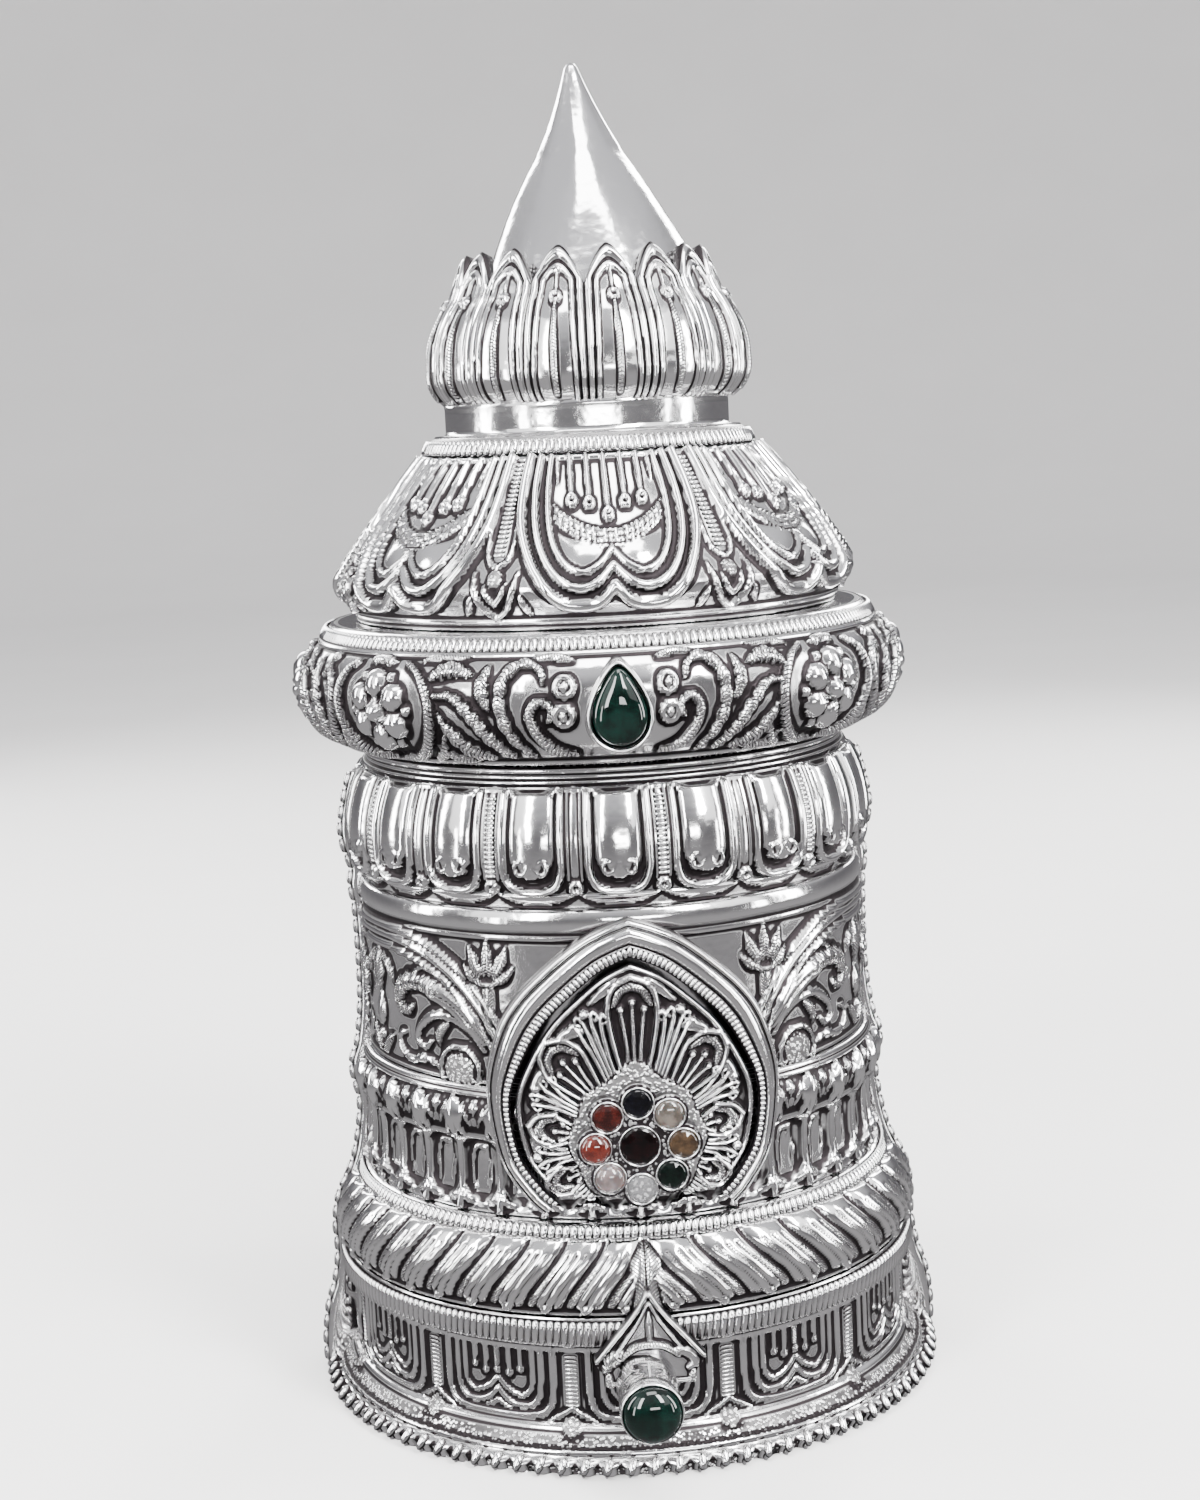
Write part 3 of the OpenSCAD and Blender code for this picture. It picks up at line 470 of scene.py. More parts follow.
def seam(dense, coarse, flipped):
    """Triangles between two closed rings of points, with an even number of dense ones to each coarse one."""
    ratio = len(dense) // len(coarse)
    after = np.roll(coarse, -1)
    triangles = [
        np.stack([dense[k::ratio], coarse if k < ratio / 2 else after, np.roll(dense, -1)[k::ratio]], -1)
        for k in range(ratio)
    ]
    triangles.append(np.stack([dense[ratio // 2::ratio], coarse, after], -1))
    triangles = np.concatenate(triangles)
    return triangles[:, ::-1] if flipped else triangles


def azimuths(count):
    """Angles around the crown, closer together at the front."""
    u = np.linspace(-np.pi, np.pi, count, endpoint=False)
    return u - FRONT_CROWDING * np.sin(u)


def tip_triangles(tip, ring, flipped=False):
    """Triangles from one point to a closed ring of points."""
    after = np.roll(ring, -1)
    return np.stack([np.full(len(ring), tip), *((after, ring) if flipped else (ring, after))], -1)


def fan_triangles(sides, start=0):
    """Triangles that fill a flat ring of points from its first one."""
    fan = np.arange(1, sides - 1)
    return start + np.stack([np.zeros_like(fan), fan, fan + 1], -1)


def capped(rings, first_tip, last_tip):
    """Points and faces of rings of points that are closed by a tip at each end."""
    rows, columns = rings.shape[:2]
    points = np.concatenate([rings.reshape(-1, 3), [first_tip, last_tip]])
    ring = np.arange(columns)
    triangles = np.concatenate([
        tip_triangles(len(points) - 2, ring, flipped=True),
        tip_triangles(len(points) - 1, (rows - 1) * columns + ring),
    ])
    return points, ring_quads(rows, columns), triangles


def closed_loop(rings, **marks):
    """One part of rings of points, each joined to the next and the last to the first."""
    rows, columns = rings.shape[:2]
    padded = {}
    for name, values in marks.items():
        values = np.asarray(values, float).reshape(-1, columns)
        # rows without marks, such as the back, get full painted shade
        fill = 1.0 if name == "cavity" else 0.0
        padded[name] = np.vstack([values, np.full((rows - len(values), columns), fill)])
    ring = np.arange(columns)
    after = (ring + 1) % columns
    last = (rows - 1) * columns
    closing = np.stack([last + ring, last + after, after, ring], -1)
    return Part(rings, np.concatenate([ring_quads(rows, columns), closing]), **padded)


def swept(sections, dark):
    """One part of a closed section repeated along a line, with flat ends. Dark is the painted shade, one
    value a corner.
    """
    count, across = sections.shape[:2]
    caps = np.concatenate([fan_triangles(across)[:, ::-1], fan_triangles(across, (count - 1) * across)])
    return Part(sections, ring_quads(count, across), caps, cavity=np.tile(dark, count))


def shell_part(outline, rows, azimuth, relief, inner_ratio):
    """The closed wall of a tier: its ornamented outside and a plain inside with fewer points."""
    inner_rows = rows[np.unique(np.append(np.arange(0, len(rows), INNER_ROW_STEP), len(rows) - 1))]
    outside = outline.place(azimuth, rows[:, None], relief.height)
    inside = outline.place(azimuth[::inner_ratio], inner_rows[:, None], -SHEET)
    return closed_wall(outside, inside, relief)


def closed_wall(outside, inside, relief):
    """One part of two walls of points whose first and last rows are joined."""
    (rows, many), (inner_rows, few) = outside.shape[:2], inside.shape[:2]
    base = rows * many
    outer_index = np.arange(base).reshape(rows, many)
    inner_index = base + np.arange(inner_rows * few).reshape(inner_rows, few)
    marks = {
        name: np.append(values.ravel(), np.full(inner_rows * few, INSIDE_MARKS[name]))
        for name, values in relief.marks().items()
    }
    return Part(
        np.concatenate([outside.reshape(-1, 3), inside.reshape(-1, 3)]),
        np.concatenate([
            ring_quads(rows, many),
            ring_quads(inner_rows, few, base)[:, ::-1],
        ]),
        np.concatenate([
            seam(outer_index[0], inner_index[0], False),
            seam(outer_index[-1], inner_index[-1], True),
        ]),
        **marks,
    )


# small copies laid on a surface: a rounded grain with its long axis along local z
GRAIN_SIDES, GRAIN_RINGS = 6, 4


def grain_shape(fullness):
    """Points and faces of one unit grain. A fuller grain is closer to a bar."""
    polar = np.linspace(0, np.pi, GRAIN_RINGS + 2)[1:-1]
    turn = np.linspace(0, 2 * np.pi, GRAIN_SIDES, endpoint=False)
    radius = np.sin(polar)[:, None] ** fullness
    level = -np.cos(polar)[:, None]
    rings = np.stack(np.broadcast_arrays(radius * np.cos(turn), radius * np.sin(turn), level), -1)
    return capped(rings, (0, 0, -1), (0, 0, 1))


def grains(centres, long_axis, side_axis, out_axis, half_long, half_side, half_out, fullness=0.6):
    """One part of many grains, one at each centre."""
    points, quads, triangles = grain_shape(fullness)
    count, size = len(centres), len(points)
    half_long, half_side, half_out = (
        np.broadcast_to(half, count)[:, None, None] for half in (half_long, half_side, half_out)
    )
    placed = (
        centres[:, None, :]
        + points[None, :, 2:3] * half_long * long_axis[:, None, :]
        + points[None, :, 1:2] * half_side * side_axis[:, None, :]
        + points[None, :, 0:1] * half_out * out_axis[:, None, :]
    )
    starts = (np.arange(count) * size)[:, None, None]
    # painted shade with patina: each grain is dark on its half towards the surface and bright on top
    depth = np.clip(0.9 - 1.3 * np.clip(points[:, 0], 0, 1), 0, 1)
    return Part(
        placed,
        (quads[None] + starts).reshape(-1, 4),
        (triangles[None] + starts).reshape(-1, 3),
        cavity=np.tile(depth, count),
    )


def grains_on(outline, azimuth, s, half_long, half_side, half_out,
              upright=True, slant=0.0, lift=0.0, fullness=0.6):
    """Grains on a tier. An upright grain lies along the outline, another lies around the crown."""
    azimuth, s = (a.ravel() for a in np.broadcast_arrays(np.asarray(azimuth, float), np.asarray(s, float)))
    along, around, outward = outline.axes(azimuth, s)
    centres = outline.place(azimuth, s, lift)
    long_axis = along * math.cos(slant) + around * math.sin(slant)
    side_axis = around * math.cos(slant) - along * math.sin(slant)
    if not upright:
        long_axis, side_axis = side_axis, -long_axis
    return grains(centres, long_axis, side_axis, outward, half_long, half_side, half_out, fullness)


def cord(outline, z, half_height, pitch, half_out=0.9):
    """A ring of ribs that stand nearly upright and touch each other."""
    s = outline.s_at(z)
    radius = outline.at(s)[0]
    count = round(2 * np.pi * radius / pitch)
    around = np.linspace(0, 2 * np.pi, count, endpoint=False)
    half_side = np.pi * radius / count * 1.02
    return grains_on(outline, around, s, half_height, half_side, half_out, slant=0.12, fullness=0.35)


def ladder(outline, centres, z0, z1, pitch, half_wide, half_out=0.7, lift=0.0):
    """Columns of short level ribs, one column at each azimuth in degrees."""
    s = np.arange(outline.s_at(z0), outline.s_at(z1), pitch)
    azimuth = np.radians(np.asarray(centres, float))[:, None]
    return grains_on(outline, azimuth, s, half_wide, pitch * 0.46, half_out,
                     upright=False, lift=lift)


def unbroken(grain_azimuth):
    """The azimuths that don't fall on a side strip."""
    away = np.abs((np.asarray(grain_azimuth, float) + 180) % 180 - 90)
    return np.asarray(grain_azimuth, float)[away > 3.4]


# ornament of the tiers

def base_ornament(relief):
    """Shields and pillars on the upright band, a stippled flange, and hollows between the rim's claws."""
    z = relief.z
    relief.matte[:] = (z > 5.0) & (z < 7.4) & (relief.r > BAND_R + 0.4)
    # painted shade on the ground of the panels
    relief.paint_ground_shade((z > 9.4) & (z < 27.4), 0.42)
    relief.bands(z, (4.6, 0.45, 0.6), (8.9, 0.5, 0.5), (27.2, 0.55, 0.8), (34.9, 0.35, 0.4))

    # cartouches with two nested lobed borders and a row of pins
    relief.use_fields(CARTOUCHES, BAND_R)
    relief.stroke([(13.5, 27), (13.5, 18.6), (13.0, 14), (11.2, 11.3), (8, 10.3), (4, 10.1), (0, 10.1)],
                  0.85, 1.7, (1, 1))
    relief.stroke([(10.6, 26.8), (10.6, 19.4), (10.2, 15.6), (8.4, 13.1), (5.4, 12.6), (2.4, 13.8),
                   (0, 16.4)],
                  0.75, 1.55, (1, 1))
    relief.stroke([(8.7, 26.8), (8.7, 19.8), (8.2, 17.2), (6.8, 15.5), (4.8, 15.4), (2.2, 16.8), (0, 19.2)],
                  0.6, 1.3, (1, 1))
    relief.stroke([(0, 13.6), (2.2, 12.0), (4.6, 11.5)], 0.6, 1.1, (1, 0.3))
    for x, low in ((0, 21.4), (2.9, 21.0), (5.8, 22.2)):
        relief.stroke([(x, 26.8), (x, low)], 0.62, 1.35, (1, 0.8), lines=0 if x else 0.7)
        relief.boss((x, low - 0.4), 0.95, 1.7)

    # pillars between them, over a pebbled wedge
    relief.use_fields(CARTOUCHES, BAND_R, 180 / CARTOUCHES)
    relief.stroke([(0, 27), (0, 13)], 1.9, 0.4, (1, 1))
    relief.stroke([(0, 12.8), (2.0, 11.4), (5.6, 9.6)], 0.65, 1.3, (1, 0.4))
    relief.boss((0, 9.6), 2.5, 0.9, matte=1.0)

    # claws around the foot, with hollows between them that are cut deeper and given painted shade
    between = 1 - np.abs(fold(relief.azimuth, RIM_CLAWS)) * RIM_CLAWS / np.pi
    hollow = np.clip((3.6 - z) / 1.6, 0, 1) * np.clip(0.75 - between, 0, 0.75) / 0.75
    relief.height -= 1.8 * hollow
    # painted shade in the hollows between the claws
    relief.ground = np.maximum(relief.ground, 1.4 * hollow)
    relief.clear_sides((z > 27.5) | (z < 3.6))


def leaf_ornament(relief):
    """Slanted leaves that part at the front and the back, with an upright leaf over each parting."""
    r, s, azimuth = relief.r, relief.s, relief.azimuth
    top = relief.outline.s_at(LEAF_TOP_Z)
    down = np.clip(1 - s / top, 0, 1)
    on_leaves = s < top
    side = np.degrees(np.abs(azimuth))
    pitch = 180 / np.where(azimuth < 0, LEAVES_LEFT, LEAVES_RIGHT)
    lean = 0.85 * (1 - np.cos(np.pi * down)) / 2 + 0.25 * down
    cell = ((side / pitch - lean) % 1 - 0.5) * pitch
    x = np.radians(cell) * r
    half = np.radians(pitch / 2) * r
    across = np.clip(1 - (x / (0.93 * half)) ** 2, 0, 1)
    ending = np.clip((0.93 - down - 0.05 * np.abs(x / half + 0.3)) / 0.13, 0, 1) ** 0.5
    leaf = 2.1 * across**0.55 * ending * (0.72 + 0.28 * np.sin(np.pi * np.clip(down * 1.1, 0, 1)))
    for vein, depth in ((-0.45, 0.35), (0, 0.45), (0.45, 0.55)):
        leaf = leaf - depth * np.exp(-(((x - vein * half) / 0.4) ** 2)) * (down > 0.2)
    relief.height = np.where(on_leaves, np.maximum(leaf, 0), 0)
    relief.chased = np.where(on_leaves & (x > 0.5 * half) & (down > 0.4) & (leaf > 0.4), 1.0, 0.0)
    relief.phase = (s + 0.9 * x) / 0.8
    # painted shade on the ground between the leaves
    relief.paint_ground_shade(on_leaves, 0.6)
    relief.use(x, s)
    relief.boss((-0.6, top * 0.13), 1.5, 2.1)
    for middle in (0, 180):
        relief.use(fold(azimuth, 1, middle) * r, s)
        relief.height = np.where((np.abs(relief.x) < 4.4 * down) & on_leaves, 0, relief.height)
        relief.stroke([(0, top - 0.3), (0, 6), (0, 0.4)], 4.0, 2.1, (0.12, 1), vein=0.6, lines=0.8)
    relief.bands(s, (0.45, 0.45, 0.5), (top - 0.1, 0.45, 0.9))
    relief.clear_sides(s > top)


def waist_ornament(relief):
    """Hollow flutes with a little scroll in each ridge, and the row of faceted drops over them."""
    r, z = relief.r, relief.z
    x = fold(relief.azimuth, FLUTES) * r
    half = np.pi / FLUTES * r
    ridge = 0.5 + 2.6 * np.clip((61.5 - z) / 5, 0, 1) ** 1.6 + half * np.clip((z - 70.4) / 3.2, 0, 1) ** 2
    across = np.clip((np.abs(x) - ridge) / np.maximum(half - ridge, 0.2), 0, 1)
    channel = 1 - np.sqrt(1 - 0.985 * (1 - across) ** 2)
    fluted = np.clip((z - 56.6) / 1.2, 0, 1) * np.clip((FLUTE_TOP_Z + 0.6 - z) / 0.5, 0, 1)
    relief.height = 1.9 * channel * fluted - 0.5 * fluted * across
    relief.use(fold(relief.azimuth, FLUTES, 5) * r, z)
    relief.stroke([(-2.2, 60.2), (-2.6, 65.5), (-1.9, 69.2), (-0.2, 70.6), (1.2, 69.6),
                   (1.1, 68.2)], 0.42, 0.7)
    relief.stroke([(1.9, 60.6), (2.3, 64), (2.2, 67)], 0.35, 0.5, (0.6, 0.2))
    half = np.interp(z, (73.2, 75.4, 78.2, 80.6, 82), (0.9, 2.2, 2.9, 1.7, 0))
    facet = np.where(half > 0.05, 1 - np.abs(x) / np.maximum(half, 0.05), -1)
    relief.height = np.where(facet > 0, np.maximum(relief.height, 0.5 + 1.5 * np.clip(facet, 0, 1) ** 0.8),
                             relief.height)
    relief.use_fields(FLUTES, r)
    relief.stroke([(0.9, 77), (1.9, 74.8), (2.5, 72.8)], 0.8, 1.5, (1, 0.2))
    relief.use_fields(FLUTES, r, 5)
    relief.stroke([(0, 81), (0, 78.4)], 1.2, 1.1, (0.6, 0.2), vein=0.2)
    relief.stroke([(3.3, 80.8), (2.2, 77.8), (1.0, 75.6)], 0.45, 0.8, (0.5, 0.3))
    relief.bands(z, (82.9, 0.55, 0.7), (84.2, 0.4, 0.5))
    relief.clear_sides(z > 82.2)


# boundaries and middles, in degrees, of the arches around the drum, either side of the front one
ARCH_EDGES = (31, 105.5, 180)
ARCH_MIDDLES = (68.25, 142.75)


def drum_ornament(relief):
    """Arches filled with scrolls, tulips where two arches meet, and lips over the plain neck."""
    z = relief.z
    side = np.degrees(np.abs(relief.azimuth))
    # faint painted shade on the ground of the arches
    relief.paint_ground_shade((z > 86.2) & (z < 119), 0.22)
    nearest = np.where(side < ARCH_EDGES[1], ARCH_MIDDLES[0], ARCH_MIDDLES[1])
    x = np.abs(np.radians(side - nearest)) * DRUM_R
    relief.use(x, z)

    # the arch: a smooth band between two lines
    relief.stroke([(44, 93), (41.4, 99.4), (37.8, 105.2), (33.4, 110), (27.6, 114), (20, 117.2),
                   (10, 118.6), (0, 118.8)],
                  0.75, 2.0, (1, 1))
    relief.stroke([(42, 93), (39.4, 98.8), (35.8, 104), (31.4, 108.4), (26, 112), (19, 114.8),
                   (9.6, 116.2), (0, 116.4)],
                  1.15, 1.5, (1, 1))
    relief.stroke([(39.8, 93), (37.4, 97.8), (33.8, 102.6), (29.6, 106.6), (24.6, 109.8), (18, 112.2),
                   (9, 113.6), (0, 113.8)],
                  0.6, 1.7, (1, 1))

    # large leaf with a ribbed curling tip, and the hook over it
    relief.stroke([(38, 94.6), (34.2, 99.6), (29, 103.6), (23, 105.6)], 2.9, 2.1, (0.3, 0.9), vein=0.5)
    relief.stroke([(25, 105.4), (18.6, 107), (12.6, 105.6), (10.4, 101.6), (13, 99.2), (15.6, 100.6)],
                  2.5, 2.2, (0.95, 0.4), vein=0.5, lobes=8, lines=0.85)
    relief.stroke([(31, 107.2), (26, 109.6), (20.4, 110.4), (17.2, 109.2)], 0.75, 1.4, (0.4, 0.6))

    # stem under the leaf, the half boss at its foot and small scrolls along the bottom
    relief.stroke([(37.4, 92.6), (34.4, 96.6), (29.6, 99.6), (23.6, 99.8), (18.6, 96.6), (17, 93),
                   (19.6, 91.4), (21.6, 93.2)],
                  1.15, 1.7, (0.5, 0.5), vein=0.3)
    relief.stroke([(27.6, 98.4), (24.6, 95.6), (24.4, 92.4)], 1.3, 1.4, (0.5, 0.2), lines=0.8)
    relief.boss((30.4, 87.6), 4.9, 1.6, matte=1.0)
    relief.ring((30.4, 87.6), 5.5, 0.55, 1.6)
    relief.stroke([(24.6, 87.4), (19.6, 88.8), (14.4, 87.8), (10.4, 89.4), (9.6, 92.8), (12.4, 94)],
                  1.15, 1.5, (0.5, 0.5), vein=0.3, lobes=5)

    # palmette and drop in the middle
    relief.stroke([(0, 112.6), (0, 107), (0, 101.6)], 2.6, 1.9, (0.3, 0.2), vein=0.5, lines=0.8)
    relief.stroke([(2.4, 111), (6, 108.4), (7.4, 104.4)], 1.3, 1.5, (0.5, 0.2), lobes=4, lines=0.7)
    relief.stroke([(0, 100.6), (0, 97), (0, 92.6)], 2.2, 1.6, (0.4, 0.15), vein=0.4)
    relief.boss((0, 91.2), 1.4, 1.6)
    relief.stroke([(1.4, 87.2), (3.6, 90), (6.4, 92)], 1.2, 1.3, (0.7, 0.2), lines=0.7)

    # tulips where two arches meet
    for edge, base_z in zip(ARCH_EDGES, (109.6, 106.4, 106.4)):
        relief.use(np.abs(np.radians(side - edge)) * DRUM_R, z)
        clear = (relief.x < 0.62 * (z - 100)) & (z > base_z - 1) & (z < 118.6)
        relief.height = np.where(clear, 0, relief.height)
        for lean, reach, width in ((0, 9.4, 1.5), (33, 8.8, 1.5), (66, 7.2, 1.2)):
            turn = math.radians(lean)
            tip = (math.sin(turn) * reach, base_z + math.cos(turn) * reach)
            bend = (math.sin(turn * 1.3) * reach * 0.5, base_z + math.cos(turn * 1.3) * reach * 0.5)
            relief.stroke([(0.2, base_z), bend, tip], width, 1.7, (0.35, 0.2), vein=0.5, lines=0.8)
        relief.stroke([(0, base_z - 0.8), (2.6, base_z - 0.8)], 0.75, 1.8, (1, 0.5))
        relief.stroke([(0, base_z - 2.4), (0, 100), (0, 95)], 1.9, 1.5, (1, 0.1), lines=0.7)
    relief.bands(z, (85.5, 0.5, 0.9), (119.3, 0.4, 0.7))

    # scalloped lips that hang from the tongue collar over the plain neck, with a painted shadow on the neck
    # just under them
    lip = np.abs(fold(relief.azimuth, TONGUES, TONGUE_OFFSET)) * TONGUES / np.pi
    edge = 125.9 + 3.4 * lip**2.2
    under = (z > edge) & (z < 129.2)
    relief.height = np.where(under, 1.9 * np.clip((z - edge) / 0.5, 0, 1) ** 0.5, relief.height)
    relief.ground = np.where((z <= edge) & (z > 125.4), 0.6, relief.ground)
    relief.clear_sides(z > 118.8)


def tongue_ornament(relief):
    """Round-ended tongues in bright frames, with strips between them."""
    z, middle_r = relief.z, 60.5
    # painted shade on the ground around the tongues and strips
    relief.paint_ground_shade((z > TONGUE_LOW_Z) & (z < 151.4), 0.6)

    # plump tongue whose lower end rolls into two small lobes, inside a bright frame
    half, foot = 5.0, TONGUE_LOW_Z + 3.6
    below = np.clip((foot + half - z) / half, 0, 1)
    width = half * np.sqrt(np.clip(1 - below**2, 0, 1))
    relief.use_fields(TONGUES, middle_r, TONGUE_OFFSET)
    cushion = 2.0 * np.clip(1 - (relief.x / np.maximum(width, 0.01)) ** 2, 0, 1) ** 0.42
    relief.height = np.where((relief.x < width) & (z < TONGUE_TOP_Z - 1.2) & (z > foot), cushion, 0)
    relief.stroke([(6.6, 151.2), (6.6, 139), (6.5, 135), (5.4, 131.8), (3, 130.2),
                   (0, 129.8)], 0.95, 2.0, (1, 1))
    relief.stroke([(0.2, 136.4), (1.4, 134.4), (2.9, 134.2), (3.5, 135.8), (2.6, 136.9), (1.8, 136)],
                  0.55, 2.4, (0.8, 0.8))
    relief.stroke([(0, 150.9), (4.9, 150.9)], 0.45, 1.4, (1, 1))

    # strips between: ribs are laid on every other one
    relief.use_fields(TONGUES, middle_r, TONGUE_OFFSET + 180 / TONGUES)
    relief.stroke([(0, 151.4), (0, 133)], 1.75, 0.7, (1, 1))
    relief.stroke([(1.5, 151.4), (1.5, 132.6)], 0.34, 1.1, (1, 1))
    relief.ring((0, 131.0), 1.1, 0.6, 2.0)
    relief.boss((0, 131.0), 0.5, 1.6)
    relief.bands(z, (151.8, 0.5, 1.1), (153.6, 0.35, 0.7), (156.2, 0.4, 0.7))
    relief.clear_sides(z > STRIP_TOP_Z + 0.4)


ROSETTE_Z = 171
# flat distance from the middle of the front to the rosette on either side
FRONT_SPAN = 58.2


def rosette_spot(distance, turn):
    """Flat coordinates at a distance and a direction from a rosette's middle."""
    return distance * math.cos(turn), ROSETTE_Z + distance * math.sin(turn)


def shoulder_ornament(relief):
    """Rosettes with leaf sprays between them, and scrolls beside the drop-shaped stone at the front."""
    z, azimuth = relief.z, relief.azimuth
    top = SHOULDER_TOP_Z - 4.2
    # faint painted shade on the ground between the forms
    relief.paint_ground_shade((z > 159.6) & (z < top - 0.4), 0.2)

    # rosettes: six round petals and a boss inside a leafy bracket
    rose = from_nearest(azimuth, ROSETTE_RIGHT + ROSETTE_GAP * np.arange(ROSETTES)) * SHOULDER_R
    relief.use(rose, z)
    for k in range(6):
        turn = math.radians(60 * k + 30)
        relief.boss(rosette_spot(5.7, turn), 3.2, 2.9)
        relief.boss(rosette_spot(8.2, turn + 0.52), 1.2, 1.5)
        relief.stroke([rosette_spot(2.8, turn), rosette_spot(7.4, turn)], 0.4, 3.3, (1, 0.3))
    relief.boss((0, ROSETTE_Z), 2.5, 3.9)
    relief.use(np.abs(rose), z)
    relief.stroke([(1, 160.2), (7, 160.6), (11.8, 163.6), (14.4, 168.4), (14.6, 173.8), (12, 178.6),
                   (8, 181)],
                  1.3, 2.1, (0.4, 0.4), lines=0.9)
    relief.stroke([(10.6, 159.6), (15.4, 162), (17.6, 166.4)], 1.1, 1.5, (0.3, 0.2), lines=0.8)
    relief.stroke([(0, 181.6), (4, 181.2)], 1.0, 1.5, (1, 0.3), lines=0.7)

    # scrolls and leaves in the middle of each stretch between rosettes
    at_front = (azimuth > -math.radians(ROSETTE_LEFT)) & (azimuth < math.radians(ROSETTE_RIGHT))
    middles = ROSETTE_RIGHT + ROSETTE_GAP * (np.arange(ROSETTES - 1) + 0.5)
    spray = np.abs(from_nearest(azimuth, middles)) * SHOULDER_R
    relief.use(np.where(at_front, np.inf, spray), z)
    relief.stroke([(0, 160.4), (0, 170), (0, 181.4)], 2.8, 2.2, (0.4, 0.2), vein=0.6, lobes=6, lines=0.9)
    relief.stroke([(1.6, 160.2), (5.6, 164), (8.8, 169.6), (9.6, 175.6), (7, 179), (4.4, 177.2)],
                  1.5, 2.1, (0.4, 0.4), vein=0.4, lines=0.9)
    relief.stroke([(6.8, 160.4), (10.2, 163), (11.8, 167.6)], 1.3, 1.6, (0.4, 0.2), lines=0.8)
    relief.stroke([(9.4, 181.6), (6.6, 180.8)], 1.0, 1.4, (0.4, 0.6), lines=0.7)

    # the front: flowers beside the stone, and scrolls that sweep out to the rosettes
    reach = np.where(azimuth < 0, ROSETTE_LEFT, ROSETTE_RIGHT)
    front = np.degrees(np.abs(azimuth)) / reach * FRONT_SPAN
    relief.use(np.where(at_front, front, np.inf), z)
    for centre in ((11.6, 176.2), (12.0, 170.2)):
        relief.ring(centre, 1.9, 0.8, 1.9)
        relief.boss(centre, 1.1, 2.3)
    relief.stroke([(9.4, 161.4), (14.6, 162.8), (18.4, 166.6), (19.4, 170.6), (17.4, 173.2),
                   (14.8, 171.8), (15.4, 169)],
                  1.2, 2.2, (0.4, 0.5), vein=0.35, lines=0.9)
    relief.stroke([(19.6, 160.6), (24, 165.8), (26, 172), (25, 178), (21, 180.8), (17, 179.8), (16.2, 177)],
                  1.6, 2.3, (0.35, 0.4), vein=0.5, lobes=8, lines=0.9)
    relief.stroke([(24.4, 160.8), (29.4, 165.6), (33.6, 171), (37.4, 174.4), (43, 174.4)],
                  1.6, 2.3, (0.4, 0.35), vein=0.5, lobes=9, lines=0.85)
    relief.stroke([(28.6, 171.6), (30.2, 176), (28.8, 180.8)], 1.8, 1.8, (0.4, 0.3),
                   vein=0.4, lobes=4, lines=0.8)
    relief.stroke([(43.4, 178.2), (38, 180), (32.6, 179)], 1.8, 1.9, (0.35, 0.35),
                   vein=0.4, lobes=5, lines=0.8)
    relief.stroke([(29.4, 160.6), (35.4, 163), (39.6, 167.6), (41.6, 171)], 1.9, 1.9, (0.35, 0.25),
                   vein=0.45, lobes=6, lines=0.85)
    relief.stroke([(34.4, 160), (39.6, 160.8), (43.6, 163.6)], 1.2, 1.6, (0.4, 0.3), lobes=4, lines=0.8)
    relief.stroke([(9.6, 181.4), (14, 182.2), (18.6, 182)], 0.9, 1.4, (0.4, 0.4), lines=0.7)
    relief.stroke([(33.6, 182.4), (39, 182.6), (46, 181.6)], 0.8, 1.3, (0.4, 0.4), lines=0.7)

    relief.height *= np.clip((z - 159) / 1.2, 0, 1) * np.clip((top - z) / 0.5, 0, 1)
    relief.bands(z, (top, 0.5, 1.0), (159.2, 0.5, 0.8))
    relief.bands(relief.s, (relief.outline.s_at(SHOULDER_TOP_Z - 0.5), 0.4, 0.5))


